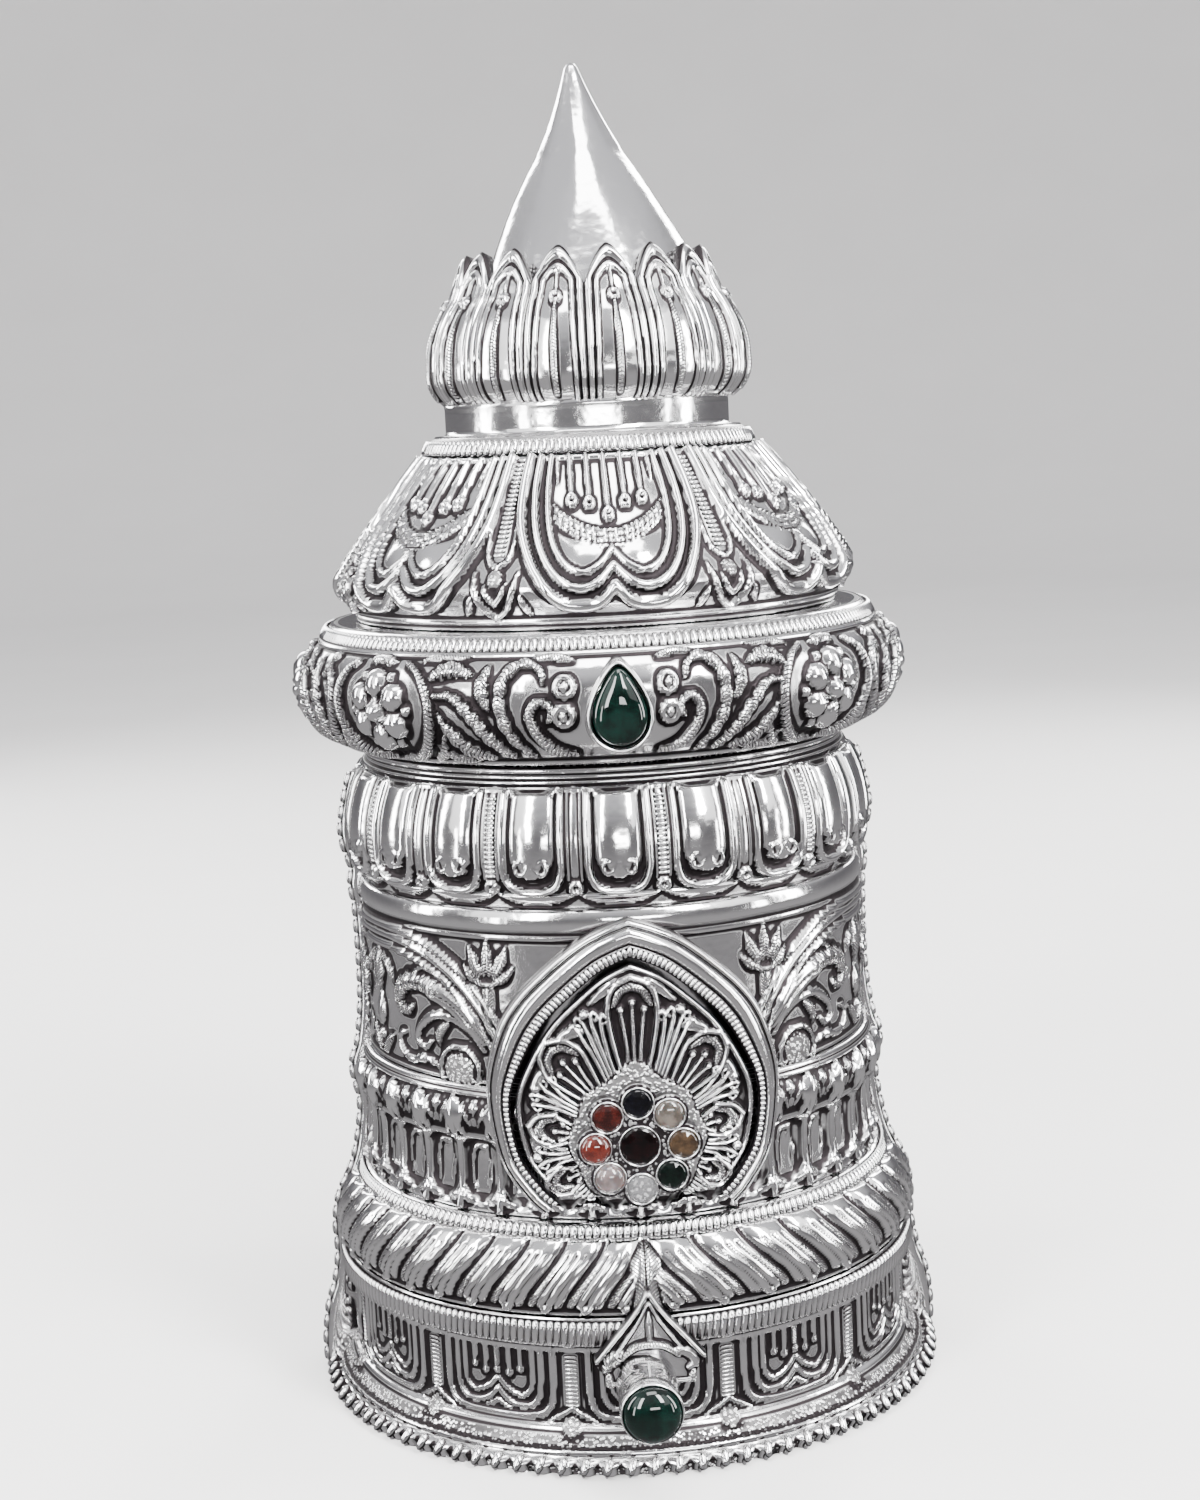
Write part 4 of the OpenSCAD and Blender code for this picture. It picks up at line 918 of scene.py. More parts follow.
def dome_ornament(relief):
    """Large petals with pins and a milled swag, and milled strips between them."""
    z = relief.z
    width_r = DOME_R * (0.22 + 0.78 * relief.r / DOME_R)
    # a trace of painted shade on the upper ground
    relief.paint_ground_shade(z > 190, 0.05)

    # three nested outlines with a double-lobed foot
    relief.use_fields(DOME_PETALS, width_r, DOME_OFFSET)
    x = relief.x
    relief.stroke([(17.2, 224.8), (19.2, 217), (20, 209.9), (18.9, 203.4), (16.2, 197.6), (12, 194),
                   (7.4, 193.1), (3.2, 193.9), (0, 196.6)],
                  1.25, 2.5, (1, 1))
    relief.stroke([(14.7, 224.8), (16.4, 217), (16.8, 210), (15.8, 204.2), (13.4, 199.4), (10.2, 196.9),
                   (6.8, 196.3), (3.2, 197.6), (0, 200.6)],
                  0.95, 1.9, (1, 1))
    relief.stroke([(12.2, 224.8), (13.5, 217), (13.7, 210), (12.8, 205), (10.8, 201.4), (8.2, 199.6),
                   (5.8, 199.4), (2.6, 201.2), (0, 204)],
                  0.75, 1.6, (1, 1))

    # pins with ring ends, and a milled swag under them
    for at, low in ((0, 212.2), (4.1, 214.7), (8.1, 215.4)):
        relief.stroke([(at, 224), (at, low)], 0.75, 1.6, (0.9, 0.8))
        relief.ring((at, low - 0.9), 0.95, 0.55, 1.6)
    relief.stroke([(11, 224), (11.2, 218.4)], 0.5, 1.2, (0.8, 0.3))
    swag = 206.4 + 4.4 * (x / 11) ** 2
    band = (np.abs(z - swag) < 1.9) & (x < 12.4)
    rows = 0.8 * np.abs(np.sin(np.pi * (z - swag) / 1.27))
    bars = np.abs(np.cos(np.pi * x / 1.25)) ** 0.6
    relief.height = np.where(band & (relief.height < 0.3), 0.25 + rows * bars, relief.height)
    cushion = 0.9 * np.clip(1 - ((x - 5.6) / 6.4) ** 2, 0, 1) * np.clip(1 - ((z - 203.4) / 4) ** 2, 0, 1)
    relief.height = np.where((z < swag - 1.9) & (relief.height < cushion), cushion, relief.height)

    # milled strips between the petals, over pebbled squares and leaf points
    relief.use_fields(DOME_PETALS, width_r, DOME_OFFSET + 180 / DOME_PETALS)
    relief.stroke([(0, 224.6), (0, 202.6)], 1.7, 0.5, (0.8, 1))
    relief.stroke([(2.0, 224), (2.5, 214), (3, 206), (2.2, 202.4), (0, 200.8)], 0.42, 1.4, (0.8, 1))
    relief.boss((0, 198.6), 1.9, 1.4, matte=1.0)
    relief.stroke([(0, 190.4), (2.4, 192.6), (4.4, 196), (5.2, 200)], 0.7, 1.9, (1, 0.3))
    relief.stroke([(0, 193.6), (1.8, 195.4), (2.6, 197.6)], 0.55, 1.5, (1, 0.4))
    relief.stroke([(7.6, 191), (6.6, 193), (5.8, 195)], 0.8, 1.3, (0.4, 0.3))
    relief.fade(np.clip((z - 189.8) / 0.8, 0, 1) * np.clip((DOME_TOP_Z + 0.2 - z) / 0.5, 0, 1))
    relief.bands(z, (DOME_TOP_Z - 0.5, 0.5, 0.9), (189.4, 0.5, 0.8))


def neck_ornament(relief):
    """Three thin lines."""
    above_cord = relief.outline.s_at(DOME_TOP_Z + 4.7)
    rim = relief.outline.s_at(NECK_TOP_Z - 1)
    relief.bands(relief.s, (0.4, 0.4, 0.5), (above_cord, 0.4, 0.5), (rim, 0.4, 0.4))


def lotus_edge(azimuth, outline):
    """How far up its outline the lotus cup reaches at each azimuth: a point over each petal."""
    across = np.abs(fold(azimuth, LOTUS_PETALS, LOTUS_OFFSET)) / (np.pi / LOTUS_PETALS)
    return outline.length[-1] - 9.2 * across**1.7


def lotus_relief(azimuth, s, outline):
    """Petals with two borders and a dark line between them, a shallow groove with painted shade, and a stem
    and a ring on each petal.
    """
    r = outline.at(s)[0]
    relief = Relief(s.shape)
    x = np.abs(fold(azimuth, LOTUS_PETALS, LOTUS_OFFSET)) * r
    edge = lotus_edge(azimuth, outline)
    half = np.pi / LOTUS_PETALS * r
    top = outline.length[-1]
    swell = 1.5 * np.clip(1 - (x / half) ** 2, 0, 1) ** 0.7
    relief.height = swell
    border = np.minimum((half - x) * (1 + 0.2 * np.clip(1 - s / 14, 0, 1)), (edge - s) * 0.5)
    for inset, width, rise in ((0.95, 0.8, 1.5), (2.75, 0.62, 1.25)):
        away = np.abs(border - inset)
        ridge = np.sqrt(np.clip(1 - (away / width) ** 2, 0, 1)) * rise
        relief.height = np.where(away < width, swell * 0.5 + ridge, relief.height)
    inner = border > 3.4
    relief.height = np.where(inner, swell * 0.8, relief.height)
    # painted shade where the petals part and in the groove between the borders
    relief.ground = np.clip(1.1 - border / 0.3, 0, 1) + np.where(np.abs(border - 1.85) < 0.22, 0.9, 0)
    relief.height -= 0.35 * (np.abs(border - 1.85) < 0.3)
    relief.use(x * 7.1 / half, s)
    relief.stroke([(0, 2.5), (0, 12), (0, top - 15)], 1.0, 2.4, (0.9, 0.6), lines=0.7)
    relief.ring((0, top - 13.2), 1.1, 0.6, 2.6)
    relief.boss((0, top - 13.2), 0.5, 1.2)
    relief.stroke([(0, top - 11.4), (0, top - 5.5)], 0.5, 2.1, (0.8, 0.3))
    # less painted shade on the high forms
    relief.ground = np.where(relief.height > 1.0, np.minimum(relief.ground, 0.6), relief.ground)
    return relief


# materials

def wire(tree, socket, value):
    """Sets a socket to a value, or links it to another node's output."""
    if isinstance(value, bpy.types.NodeSocket):
        tree.links.new(value, socket)
    else:
        socket.default_value = value


def shade(tree, kind, inputs, output=0, **settings):
    """Adds a node, fills its inputs by name or number, and gives back one output."""
    node = tree.nodes.new("ShaderNode" + kind)
    for name, value in settings.items():
        setattr(node, name, value)
    for key, value in inputs.items():
        wire(tree, node.inputs[key], value)
    return node.outputs[output]


def calculated(tree, operation, *values):
    """The result of a sum on up to three values."""
    return shade(tree, "Math", dict(enumerate(values)), operation=operation)


def eased(tree, value, low, high, start=0.0, end=1.0):
    """A value carried smoothly from one range to another."""
    ends = {"Value": value, "From Min": low, "From Max": high, "To Min": start, "To Max": end}
    return shade(tree, "MapRange", ends, interpolation_type="SMOOTHSTEP")


def blended(tree, share, first, second):
    """One colour turning into another."""
    return shade(tree, "Mix", {0: share, 6: first, 7: second}, 2, data_type="RGBA")


def new_material(name, **values):
    """A material with plain values on its shader, and the tools to add to it."""
    material = bpy.data.materials.new(name)
    material.use_nodes = True
    tree = material.node_tree
    shader = tree.nodes["Principled BSDF"]
    for key, value in values.items():
        shader.inputs[key.replace("_", " ")].default_value = value
    return material, tree, shader


def weighted_sum(tree, *terms):
    """The sum of values times their weights."""
    total = 0.0
    for value, weight in terms:
        total = calculated(tree, "MULTIPLY_ADD", value, weight, total)
    return total


def object_place(tree):
    """The point's own place on the piece, in metres."""
    return shade(tree, "TexCoord", {}, "Object")


def noise(tree, scale, detail=3.0):
    """Cloudy values at a number of cells a metre."""
    settings = {"Vector": object_place(tree), "Scale": scale, "Detail": detail, "Roughness": 0.55}
    return shade(tree, "TexNoise", settings)


def bumped(tree, shader, strength, distance, height):
    """Tilts the shading of a surface by a height, at most by a distance in metres."""
    bump = shade(tree, "Bump", {"Strength": strength, "Distance": distance, "Height": height})
    wire(tree, shader.inputs["Normal"], bump)


def silver_material(name, polish=0.0):
    """Raised silver, bright on its ridges and dark in its hollows: tarnish that polish doesn't reach, and
    painted shade.
    """
    material, tree, shader = new_material(name, Metallic=1.0)
    cavity, phase, chased, matte = (
        shade(tree, "Attribute", {}, "Fac", attribute_name=mark) for mark in MARKS
    )
    wave = calculated(tree, "SINE", calculated(tree, "MULTIPLY", phase, 2 * math.pi))
    line = calculated(tree, "MULTIPLY", eased(tree, wave, 0.05, 0.75), chased)
    cells = shade(tree, "TexVoronoi", {"Vector": object_place(tree), "Scale": 1100.0}, "Distance")
    pit = calculated(tree, "MULTIPLY", eased(tree, cells, 0.3, 0.6), matte)
    stain = noise(tree, 55.0, 4.0)
    # tarnish and painted shade: the cavity mark, chased lines, matted pits and stains
    tarnish_and_shade = weighted_sum(tree, (cavity, 1.0), (line, 0.55), (pit, 0.5), (stain, 0.34 - 0.24 * polish))
    share = eased(tree, tarnish_and_shade, 0.25, 0.85)
    # dark colour of tarnish and of painted shade
    tarnish_and_shade_colour = blended(tree, stain, (0.012, 0.010, 0.011, 1), (0.035, 0.030, 0.032, 1))
    bright = blended(tree, noise(tree, 14.0, 2.0), (0.86, 0.85, 0.85, 1), (0.93, 0.925, 0.93, 1))
    wire(tree, shader.inputs["Base Color"], blended(tree, share, bright, tarnish_and_shade_colour))
    fine = noise(tree, 900.0, 2.0)
    rough = weighted_sum(tree, (eased(tree, share, 0.0, 1.0, 0.09, 0.5), 1.0), (matte, 0.12), (fine, 0.07))
    wire(tree, shader.inputs["Roughness"], rough)
    dents = noise(tree, 170.0, 2.0)
    bumped(tree, shader, 1.0, 0.0003,
           weighted_sum(tree, (dents, 0.6), (fine, 0.04), (line, -0.7), (pit, -0.7)))
    return material


def stone_material(name, deep, pale, scale, values):
    """A stone whose colour drifts between two tones, with faint wear on its polish."""
    material, tree, shader = new_material(name, **values)
    cloud = eased(tree, noise(tree, scale), 0.35, 0.65)
    wire(tree, shader.inputs["Base Color"], blended(tree, cloud, (*deep, 1), (*pale, 1)))
    wear = eased(tree, noise(tree, 1400.0, 2.0), 0.4, 0.75, 0.02, 0.09)
    wire(tree, shader.inputs["Roughness"], wear)
    bumped(tree, shader, 0.2, 0.0001, noise(tree, 300.0, 1.0))
    return material


def cloudy(weight, **values):
    """Values of a stone that lets a little light in."""
    return {"Subsurface_Weight": weight, "Subsurface_Scale": 0.001, **values}


# two tones of each stone, its clouds to the metre, and the plain values of its shader
STONE_LOOKS = {
    "dark_garnet": ((0.0005, 0.0002, 0.0002), (0.002, 0.0003, 0.0004), 500.0, {"IOR": 1.45}),
    "brown_garnet": ((0.008, 0.0012, 0.0009), (0.022, 0.003, 0.002), 500.0, {"IOR": 1.6}),
    "dark_sapphire": ((0.0003, 0.0003, 0.0005), (0.001, 0.001, 0.002), 500.0, {"IOR": 1.45}),
    "cats_eye": ((0.03, 0.026, 0.022), (0.075, 0.064, 0.055), 380.0, cloudy(0.2, IOR=1.7)),
    "hessonite": ((0.012, 0.007, 0.0035), (0.034, 0.020, 0.010), 420.0, {"IOR": 1.7}),
    "dark_emerald": ((0.0003, 0.0008, 0.0006), (0.0008, 0.003, 0.002), 500.0, {"IOR": 1.45}),
    "clear_stone": ((0.80, 0.80, 0.82), (0.92, 0.92, 0.94), 500.0, {"IOR": 2.0, "Transmission_Weight": 0.9}),
    "pearl": ((0.055, 0.044, 0.044), (0.11, 0.09, 0.09), 320.0, cloudy(0.3, IOR=1.55, Coat_Weight=0.5)),
    "coral": ((0.026, 0.0035, 0.0022), (0.055, 0.008, 0.005), 360.0, cloudy(0.1, IOR=1.6, Coat_Weight=0.5)),
    "green_cabochon": ((0.0003, 0.002, 0.0014), (0.001, 0.007, 0.005), 260.0, {"IOR": 1.52}),
}

silver = silver_material("raised_silver")
smooth_silver = silver_material("smooth_silver", polish=1.0)
stones = {name: stone_material(name, *look) for name, look in STONE_LOOKS.items()}


# tiers

def tier(node, outline, spacing, ornament, extras=(), columns=TIER_COLUMNS, inner_ratio=8):
    """One ornamented tier with its small ribs and beads, standing for its solid."""
    rows = outline.rows(spacing)
    azimuth = azimuths(columns)
    relief = TierRelief(outline, rows, azimuth)
    ornament(relief)
    wall = shell_part(outline, rows, azimuth, relief, inner_ratio)
    new_piece(f"{node}_raised", [wall, *extras], silver, (node,))


def rim_claws():
    """Slanted claws around the foot of the crown."""
    azimuth = np.linspace(0, 2 * np.pi, RIM_CLAWS, endpoint=False)
    claws = grains_on(base_outline, azimuth, base_outline.s_at(2.55), 2.2, 1.0, 1.15,
                      slant=0.25, lift=0.25, fullness=0.8)
    spikes = grains_on(base_outline, azimuth - 0.008, base_outline.s_at(0.9), 1.0, 0.5, 0.9,
                       slant=0.1, lift=0.1)
    return [claws, spikes]


def lotus_cup():
    """The lotus cup, whose upper edge rises to a point over each petal."""
    azimuth = azimuths(512)
    share = np.linspace(0, 1, 61)[:, None]
    outer_s = share * lotus_edge(azimuth, lotus_outline)
    relief = lotus_relief(azimuth, outer_s, lotus_outline)
    outside = lotus_outline.place(azimuth, outer_s, relief.height)
    inside = lotus_outline.place(azimuth[::4], outer_s[::4, ::4], -SHEET)
    wall = closed_wall(outside, inside, relief)
    wall.points[:, 0] += LOTUS_SHIFT
    new_piece("lotus_cup_raised", [wall], silver, ("lotus_cup",))


def cone_finial():
    """The smooth cone, hammered a little out of true and leaning from its tip."""
    azimuth = np.linspace(0, 2 * np.pi, 128, endpoint=False)
    rows = cone_outline.rows(1.2)
    r, z = (a[:, None] for a in cone_outline.at(rows)[:2])
    relief = Relief((len(rows), len(azimuth)))
    wander = 0.16 * np.sin(3 * azimuth + z / 9) + 0.12 * np.sin(5 * azimuth - z / 6)
    wander += 0.1 * np.sin(9 * azimuth + z / 14)
    relief.height = wander * np.clip(r / 12, 0, 1)
    outside = cone_outline.place(azimuth, rows[:, None], relief.height)
    inside = cone_outline.place(azimuth[::4], rows[r[:, 0] > 3][::4, None], -SHEET)
    wall = closed_wall(outside, inside, relief)
    lean = math.atan(CONE_LEAN / (TIP_Z - CONE_FOOT_Z))
    x, up = wall.points[:, 0].copy(), TIP_Z - wall.points[:, 2]
    wall.points[:, 0] = x * math.cos(lean) + up * math.sin(lean)
    wall.points[:, 2] = TIP_Z + x * math.sin(lean) - up * math.cos(lean)
    new_piece("cone_finial_raised", [wall], smooth_silver, ("cone_finial",))


# front arch: curves are drawn flat as width and height, then laid around the crown's axis

def around_axis(x, radius, z):
    """Points at a distance from the crown's axis, seen from the front at x and z."""
    x, radius, z = np.broadcast_arrays(x, radius, z)
    return np.stack([x, -np.sqrt(radius**2 - x**2), z], -1)


def arch_curve():
    """The right half of the arch's outer edge, from its point to its foot."""
    w, top, foot = ARCH_HALF_W, ARCH_TOP_Z, ARCH_FOOT_Z
    return smooth([
        (0, top), (0.17 * w, top - 1.9), (0.36 * w, top - 5.1), (0.58 * w, top - 11), (0.78 * w, top - 17.7),
        (0.91 * w, top - 24.9), (w, top - 36), (0.99 * w, top - 46), (0.92 * w, top - 56),
        (0.76 * w, foot + 3), (0.66 * w, foot),
    ])


def inset_curve(curve, share, more, count):
    """Evenly spaced points on the arch moved inwards by a share of the frame's width and some more."""
    step = directions(curve)
    inset = share * frame_width(curve[:, 1]) + more
    moved = curve + inset[:, None] * np.stack([step[:, 1], -step[:, 0]], 1)
    first = int(np.argmax(moved[:, 0] > 0))
    if first:
        a, b = moved[first - 1], moved[first]
        moved = np.vstack([a + (b - a) * a[0] / (a[0] - b[0]), moved[first:]])
    passed = lengths_along(moved)
    return at_lengths(moved, passed, np.linspace(0, passed[-1], count))


def frame_width(z):
    """Width of the arch frame at a height: broad over the fan, narrow beside the stones."""
    t = np.clip((z - CLUSTER_Z - 2) / 28, 0, 1)
    return ARCH_FOOT_W + (ARCH_FRAME_W - ARCH_FOOT_W) * t * t * (3 - 2 * t)


def whole_arch(half):
    """A mirrored curve from the left foot over the point to the right foot."""
    left = half[:0:-1] * (-1, 1)
    return np.vstack([left, half])


def arch_frame():
    """The polished band around the front arch, with its edge line and its milled inner border."""
    curve = arch_curve()
    face, back = ARCH_R - 1.6, 60.7
    # share of the width, height over the face, and how dark it is painted as shade in the grooves and on the
    # milled border's ground
    profile = [
        (0, 0.2, 0.4), (0.03, 0.55, 0), (0.07, 0.75, 0), (0.11, 0.6, 0), (0.14, 0.15, 0.8), (0.165, 0.0, 1),
    ]
    for t in np.linspace(0, 1, 13):
        profile.append((0.19 + 0.42 * t, 0.3 + 1.25 * math.sin(math.pi * t) ** 0.6, 0))
    profile += [
        (0.635, 0.0, 1), (0.66, 0.0, 1), (0.68, 0.45, 0.3), (0.71, 0.5, 0.7), (0.95, 0.45, 0.7),
        (0.98, 0.2, 0.7),
    ]
    # share of the width, distance from the crown's axis, and how dark it is painted as shade on the sides and
    # back
    rows = [(0, back, 0.9), (0, 62.5, 0.7), (0, 64.5, 0.4)]
    rows += [(share, face + height, dark) for share, height, dark in profile]
    rows += [(1, 65.3, 0.9), (1, 63.4, 1), (0.5, back, 1)]
    lines = [(whole_arch(inset_curve(curve, share, 0, 140)), radius) for share, radius, _ in rows]
    sections = np.stack([around_axis(line[:, 0], radius, line[:, 1]) for line, radius in lines], 1)
    band = swept(sections, [dark for _, _, dark in rows])
    milled = whole_arch(inset_curve(curve, 0.82, 0, 64))
    half_long = 0.145 * frame_width(milled[:, 1])
    ribs = ribs_along(milled, face + 0.55, half_long, 0.6, 0.8)
    new_piece("arch_frame_raised", [band, ribs], silver, ("arch_frame",))


def ribs_along(line, radius, half_long, half_side, half_out):
    """Short ribs across a flat curve that is laid around the crown's axis."""
    step = directions(line)
    centres = around_axis(line[:, 0], radius, line[:, 1])
    outward = np.stack([centres[:, 0], centres[:, 1], np.zeros(len(line))], -1) / radius
    around = np.stack([-outward[:, 1], outward[:, 0], outward[:, 2]], -1)
    up = np.broadcast_to((0.0, 0.0, 1.0), around.shape)
    along = around * step[:, :1] + up * step[:, 1:]
    across = np.cross(outward, along)
    return grains(centres, across, along, outward, half_long, half_side, half_out, 0.5)


def turned_to(x, z, degrees):
    """Flat coordinates seen from a direction that leans away from upright."""
    turn = math.radians(degrees)
    return x * math.cos(turn) - z * math.sin(turn), x * math.sin(turn) + z * math.cos(turn)


# directions of the niches of the fan, how far each reaches, and how wide it is
FAN_NICHES = ((0, 37, 1.0), (41, 29.8, 0.9), (82, 24.2, 0.72), (118, 23.4, 0.6))
# directions of the bundles of ridges between them, and how far they reach
FAN_BUNDLES = ((20.5, 31.8), (61.5, 26.4), (100, 23.6), (133, 24.6))
COLLAR_REACH = 15.8


def fan_relief(x, z, inset):
    """Pointed hoods with pins, bundles of curling ridges and broad outer leaves around a matted collar."""
    relief = Relief(x.shape)
    side = np.abs(x)
    spread = np.hypot(x, z)
    # painted shade over the fan's ground outside the matted collar
    relief.paint_ground_shade(spread > COLLAR_REACH, 1.0)
    low = COLLAR_REACH - 1
    for degrees, reach, size in FAN_NICHES:
        across, out = turned_to(side, z, degrees)
        relief.use(np.abs(across), out)
        relief.stroke([(2.8 * size, low), (5.0 * size, low + 0.45 * (reach - low)), (5.4 * size, reach - 5.6),
                       (3.6 * size, reach - 1.8), (0, reach)], 0.7, 2.0, (0.7, 1))
        relief.stroke([(4.2 * size, reach - 6.4), (2.7 * size, reach - 3.3), (0, reach - 2.2)],
                      1.2, 1.3, (0.6, 1), lines=0.7)
        relief.use(across, out)
        for lean in (-1, 0, 1):
            top = reach - (6.2 if lean == 0 else 7.8)
            start, end = 1.2 * lean * size, 2.6 * lean * size
            relief.stroke([(start, low), ((start + end) / 2.3, (low + top) / 2),
                           (end, top)], 0.5, 1.6, (1, 0.8))
            relief.boss((end, top + 0.4), 0.85, 2.0)
    for degrees, reach in FAN_BUNDLES:
        across, out = turned_to(side, z, degrees)
        relief.use(across, out)
        for bend in (-2.7, -1.0, 0.8, 2.5):
            top = reach - 0.8 * abs(bend)
            curl = math.copysign(1.7, bend)
            relief.stroke([(0.45 * bend, low), (0.6 * bend, low + 0.4 * (top - low)), (bend, top - 2.4),
                           (bend + 0.6 * curl, top - 0.4), (bend + curl, top - 1.8),
                           (bend + 0.5 * curl, top - 2.4)],
                          0.62, 1.8, (0.8, 0.6))
        relief.boss((0, reach - 1.0), 1.2, 1.9)
    for points, width in (
        ([(9.6, 25.4), (14.6, 24.4), (18.6, 20.6)], 1.5),
        ([(18.6, 17.6), (21.6, 13.4), (22.6, 8)], 1.4),
        ([(22.4, 4.8), (22.6, 0), (21.6, -5)], 1.2),
        ([(1.6, 37.4), (5.4, 34.6), (9.4, 31.2)], 1.3),
    ):
        relief.use(side, z)
        relief.stroke(points, width, 1.7, (0.3, 0.4), vein=0.4)
    ridge = 1.6 * np.sqrt(np.clip(1 - ((inset - 0.7) / 0.65) ** 2, 0, 1))
    relief.height = np.where(ridge > 0, np.maximum(relief.height, ridge), relief.height)
    scallops = COLLAR_REACH - 0.5 + 0.45 * np.cos(8 * np.arctan2(side, z))
    scallops += 2.6 * np.exp(-((side / 5) ** 2)) * (z > 0)
    collar = np.clip((scallops - spread) / 0.5, 0, 1)
    raised = np.maximum(relief.height * (1 - collar), 1.5 * np.sqrt(collar))
    relief.height = np.where(collar > 0, raised, relief.height)
    relief.matte = np.where(collar > 0.4, 1.0, relief.matte)
    relief.chased = np.where(collar > 0.2, 0.0, relief.chased)
    return relief


def fan_panel():
    """The panel inside the arch, spreading from behind the stones."""
    edge_line = inset_curve(arch_curve(), 1, ARCH_GAP, 200)
    edge_line = edge_line[edge_line[:, 1] > ARCH_FOOT_Z + 0.4] - (0, CLUSTER_Z)
    angles = np.arctan2(edge_line[:, 0], edge_line[:, 1])
    reaches = np.hypot(*edge_line.T)
    turn = np.linspace(-np.pi, np.pi, 640, endpoint=False)
    side = np.abs(turn)
    under = side > angles[-1]
    reach = np.interp(side, angles, reaches)
    to_foot = edge_line[-1, 1] / np.where(under, np.cos(side), -1)
    reach = np.where(under, np.minimum(to_foot, reaches[-1]), reach)
    share = np.concatenate([[0.05, 0.2], np.linspace(0.3, 1, 58)])[:, None]
    spread = share * reach
    x, z = spread * np.sin(turn), spread * np.cos(turn)
    relief = fan_relief(x, z, reach - spread)
    front = around_axis(x, FAN_R + relief.height, z + CLUSTER_Z)
    depth = ((0.99, 0.4), (0.98, 1.1), (0.05, 1.1))
    back = np.stack([
        around_axis(part * reach * np.sin(turn), FAN_R - down, part * reach * np.cos(turn) + CLUSTER_Z)
        for part, down in depth
    ])
    wall = closed_loop(np.concatenate([front, back]), **relief.marks())
    new_piece("fan_panel_raised", [wall], silver, ("fan_panel",))


# stones and what holds them

def turned_rings(profile, count, place):
    """Rings of points of a profile, as radius and distance from the crown's axis, turned about a place."""
    radius, level = np.array(profile, float).T[:, :, None]
    turn = np.linspace(0, 2 * np.pi, count, endpoint=False)
    return np.stack(np.broadcast_arrays(
        radius * np.cos(turn) + place[0], -level, radius * np.sin(turn) + place[1]), -1)


def turned_part(profile, count, place, dark=None):
    """A turned piece that points out of the crown's front, closed at both ends."""
    x, z = place
    rings = turned_rings(profile, count, place)
    marks = {} if dark is None else {"cavity": np.append(np.repeat(dark, count), [dark[0], dark[-1]])}
    return Part(*capped(rings, (x, -profile[0][1], z), (x, -profile[-1][1], z)), **marks)


def cluster_place(place, radius=CLUSTER_R):
    """Where a stone stands; places count clockwise from the top of the cluster."""
    turn = place * math.pi / 4
    return radius * math.sin(turn), CLUSTER_Z + radius * math.cos(turn)


def cut_stone(name, slot_name, radius, place, tint=None):
    """A round faceted stone: a table, star and kite facets, and a girdle."""
    seat = PLATE_FACE_R - STONE_SINK
    # share of the radius, height over the seat, count of corners, and how far they are turned on
    rows = ((0.35, 0.0, 8, 0.5), (1.0, STONE_SINK - 0.1, 16, 0.0), (1.0, STONE_SINK + 0.1, 16, 0.0),
            (0.86, STONE_SINK + 0.62, 16, 0.5), (0.56, STONE_SINK + 1.1, 8, 0.5))
    points = []
    for share, height, count, offset in rows:
        turn = (np.arange(count) + offset) * 2 * np.pi / count
        ring_r = share * radius
        level = np.full(count, -seat - height)
        points.append(np.stack([ring_r * np.cos(turn), level, ring_r * np.sin(turn)], -1))
    starts = np.cumsum([0] + [len(p) for p in points])
    triangles = [
        strip_triangles(lower, upper, low, high)
        for lower, upper, low, high in zip(points[:-1], points[1:], starts[:-1], starts[1:])
    ]
    triangles.append(fan_triangles(len(points[0]))[:, ::-1])
    triangles.append(fan_triangles(len(points[-1]), starts[-2]))
    placed = np.concatenate(points) + (place[0], 0, place[1])
    body = Part(placed, triangles=np.concatenate(triangles))
    new_piece(f"{name}_cut", [body], stones[tint or slot_name], (name,), flat=True)


def strip_triangles(lower, upper, low, high):
    """Facets between two rings of points that may differ in number."""
    around_low = np.arctan2(lower[:, 2], lower[:, 0]) % (2 * np.pi)
    around_high = np.arctan2(upper[:, 2], upper[:, 0]) % (2 * np.pi)
    i, j = int(np.argmin(around_low)), int(np.argmin(around_high))
    triangles = []
    done_low = done_high = 0
    while done_low < len(lower) or done_high < len(upper):
        low_ends = i + 1 >= len(lower) or done_low == len(lower) - 1
        high_ends = j + 1 >= len(upper) or done_high == len(upper) - 1
        next_low = around_low[(i + 1) % len(lower)] + 2 * np.pi * low_ends
        next_high = around_high[(j + 1) % len(upper)] + 2 * np.pi * high_ends
        forward_low = done_low < len(lower) and (done_high == len(upper) or next_low <= next_high)
        if forward_low:
            triangles.append((low + i, low + (i + 1) % len(lower), high + j))
            i = (i + 1) % len(lower)
            done_low += 1
        else:
            triangles.append((low + i, high + (j + 1) % len(upper), high + j))
            j = (j + 1) % len(upper)
            done_high += 1
    return np.array(triangles)


def domed_stone(name, slot_name, radius, rise, place, seat=None, sink=STONE_SINK):
    """A smooth round stone."""
    seat = PLATE_FACE_R - STONE_SINK if seat is None else seat
    t = np.linspace(0, np.pi / 2, 14)[1:-1]
    profile = [(radius * 0.9, seat), (radius, seat + 0.15), (radius, seat + sink)]
    profile += [(radius * math.cos(a), seat + sink + rise * math.sin(a)) for a in t]
    profile.append((radius * 0.04, seat + sink + rise))
    part = turned_part(profile, 64, place)
    new_piece(f"{name}_domed", [part], stones[slot_name], (name,))


BEZEL_SIDES = 56


